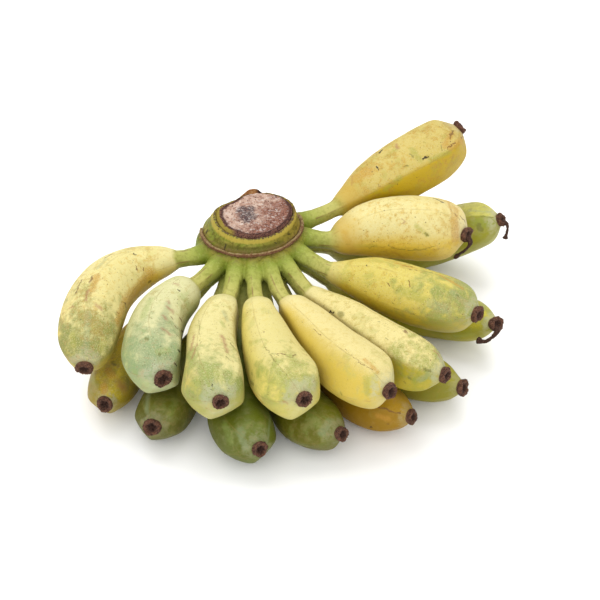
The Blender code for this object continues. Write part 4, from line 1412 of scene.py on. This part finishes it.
def viewpoint():
    """The camera's place, and unit vectors to its right, upwards and backwards. It looks down
    at the hand from the front, so that the crown falls on its pixel."""
    elevation = math.radians(CAMERA_ELEVATION)
    right = np.array([1.0, 0.0, 0.0])
    up = np.array([0.0, math.sin(elevation), math.cos(elevation)])
    back = np.array([0.0, -math.cos(elevation), math.sin(elevation)])
    middle = IMAGE_SIDE / 2
    aim = CROWN_TOP + right * (middle - CROWN_PIXEL[0]) * MM_PER_PIXEL
    aim = aim - up * (middle - CROWN_PIXEL[1]) * MM_PER_PIXEL
    return aim + back * MM_PER_PIXEL * IMAGE_SIDE * CAMERA_LENS / SENSOR, right, up, back


def camera():
    eye, right, up, back = viewpoint()
    data = bpy.data.cameras.new("camera")
    data.lens = CAMERA_LENS
    data.sensor_width = SENSOR
    data.clip_start = 0.01
    made = linked("camera", data)
    matrix = Matrix((Vector(right), Vector(up), Vector(back))).transposed().to_4x4()
    matrix.translation = Vector((eye + CROWN_AT) * MM)
    made.matrix_world = matrix
    bpy.context.scene.camera = made


def soft_sun(name, energy, spread, azimuth, elevation):
    """Even light from a wide part of the sky."""
    data = bpy.data.lights.new(name, "SUN")
    data.energy = energy
    data.angle = math.radians(spread)
    lamp = linked(name, data)
    a, e = math.radians(azimuth), math.radians(elevation)
    towards = Vector((math.cos(a) * math.cos(e), math.sin(a) * math.cos(e), math.sin(e)))
    lamp.rotation_euler = towards.to_track_quat("Z", "Y").to_euler()


def light():
    world = bpy.data.worlds.new("studio")
    world.use_nodes = True
    sky = world.node_tree.nodes["Background"]
    sky.inputs[0].default_value = (1.0, 1.0, 1.0, 1.0)
    sky.inputs[1].default_value = SKY_STRENGTH
    bpy.context.scene.world = world
    for name, settings in SUNS.items():
        soft_sun(name, *settings)
    bpy.context.scene.view_settings.view_transform = "Standard"


def dress(piece, material, slot, *nodes):
    """Gives a piece its material, and says what it rides on and which nodes it stands for."""
    piece.data.materials.clear()
    piece.data.materials.append(material)
    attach(piece, "root")
    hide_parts(*nodes)


def main():
    camera()
    light()
    floor_piece()
    generator = np.random.default_rng(7)
    axes = {name: Axis(finger) for name, finger in FINGERS.items()}
    corners = {name: ridge_angles(axis.finger, generator) for name, axis in axes.items()}
    blossom = blossom_material()
    for k, (name, axis) in enumerate(axes.items()):
        others = [other for key, other in axes.items() if key != name]
        peel, strokes = finger_piece(name, axis, others, corners[name], k)
        slot = "peel_" + axis.finger.row
        dress(peel, peel_material(name, LOOKS[name], strokes), slot, "finger_" + name)
        dress(blossom_piece(name, axis, 100 + k), blossom, "blossom", "blossom_end_" + name)
    dress(crown_piece(axes, corners), crown_material(), "crown", "crown")
    dress(scar_piece(), cork_material(), "scar", "scar_ring")
    dress(cut_piece(), cut_material(), "cut", "cut_face")
    dress(flake_piece(), flake_material(), "cut", "cut_face")


main()
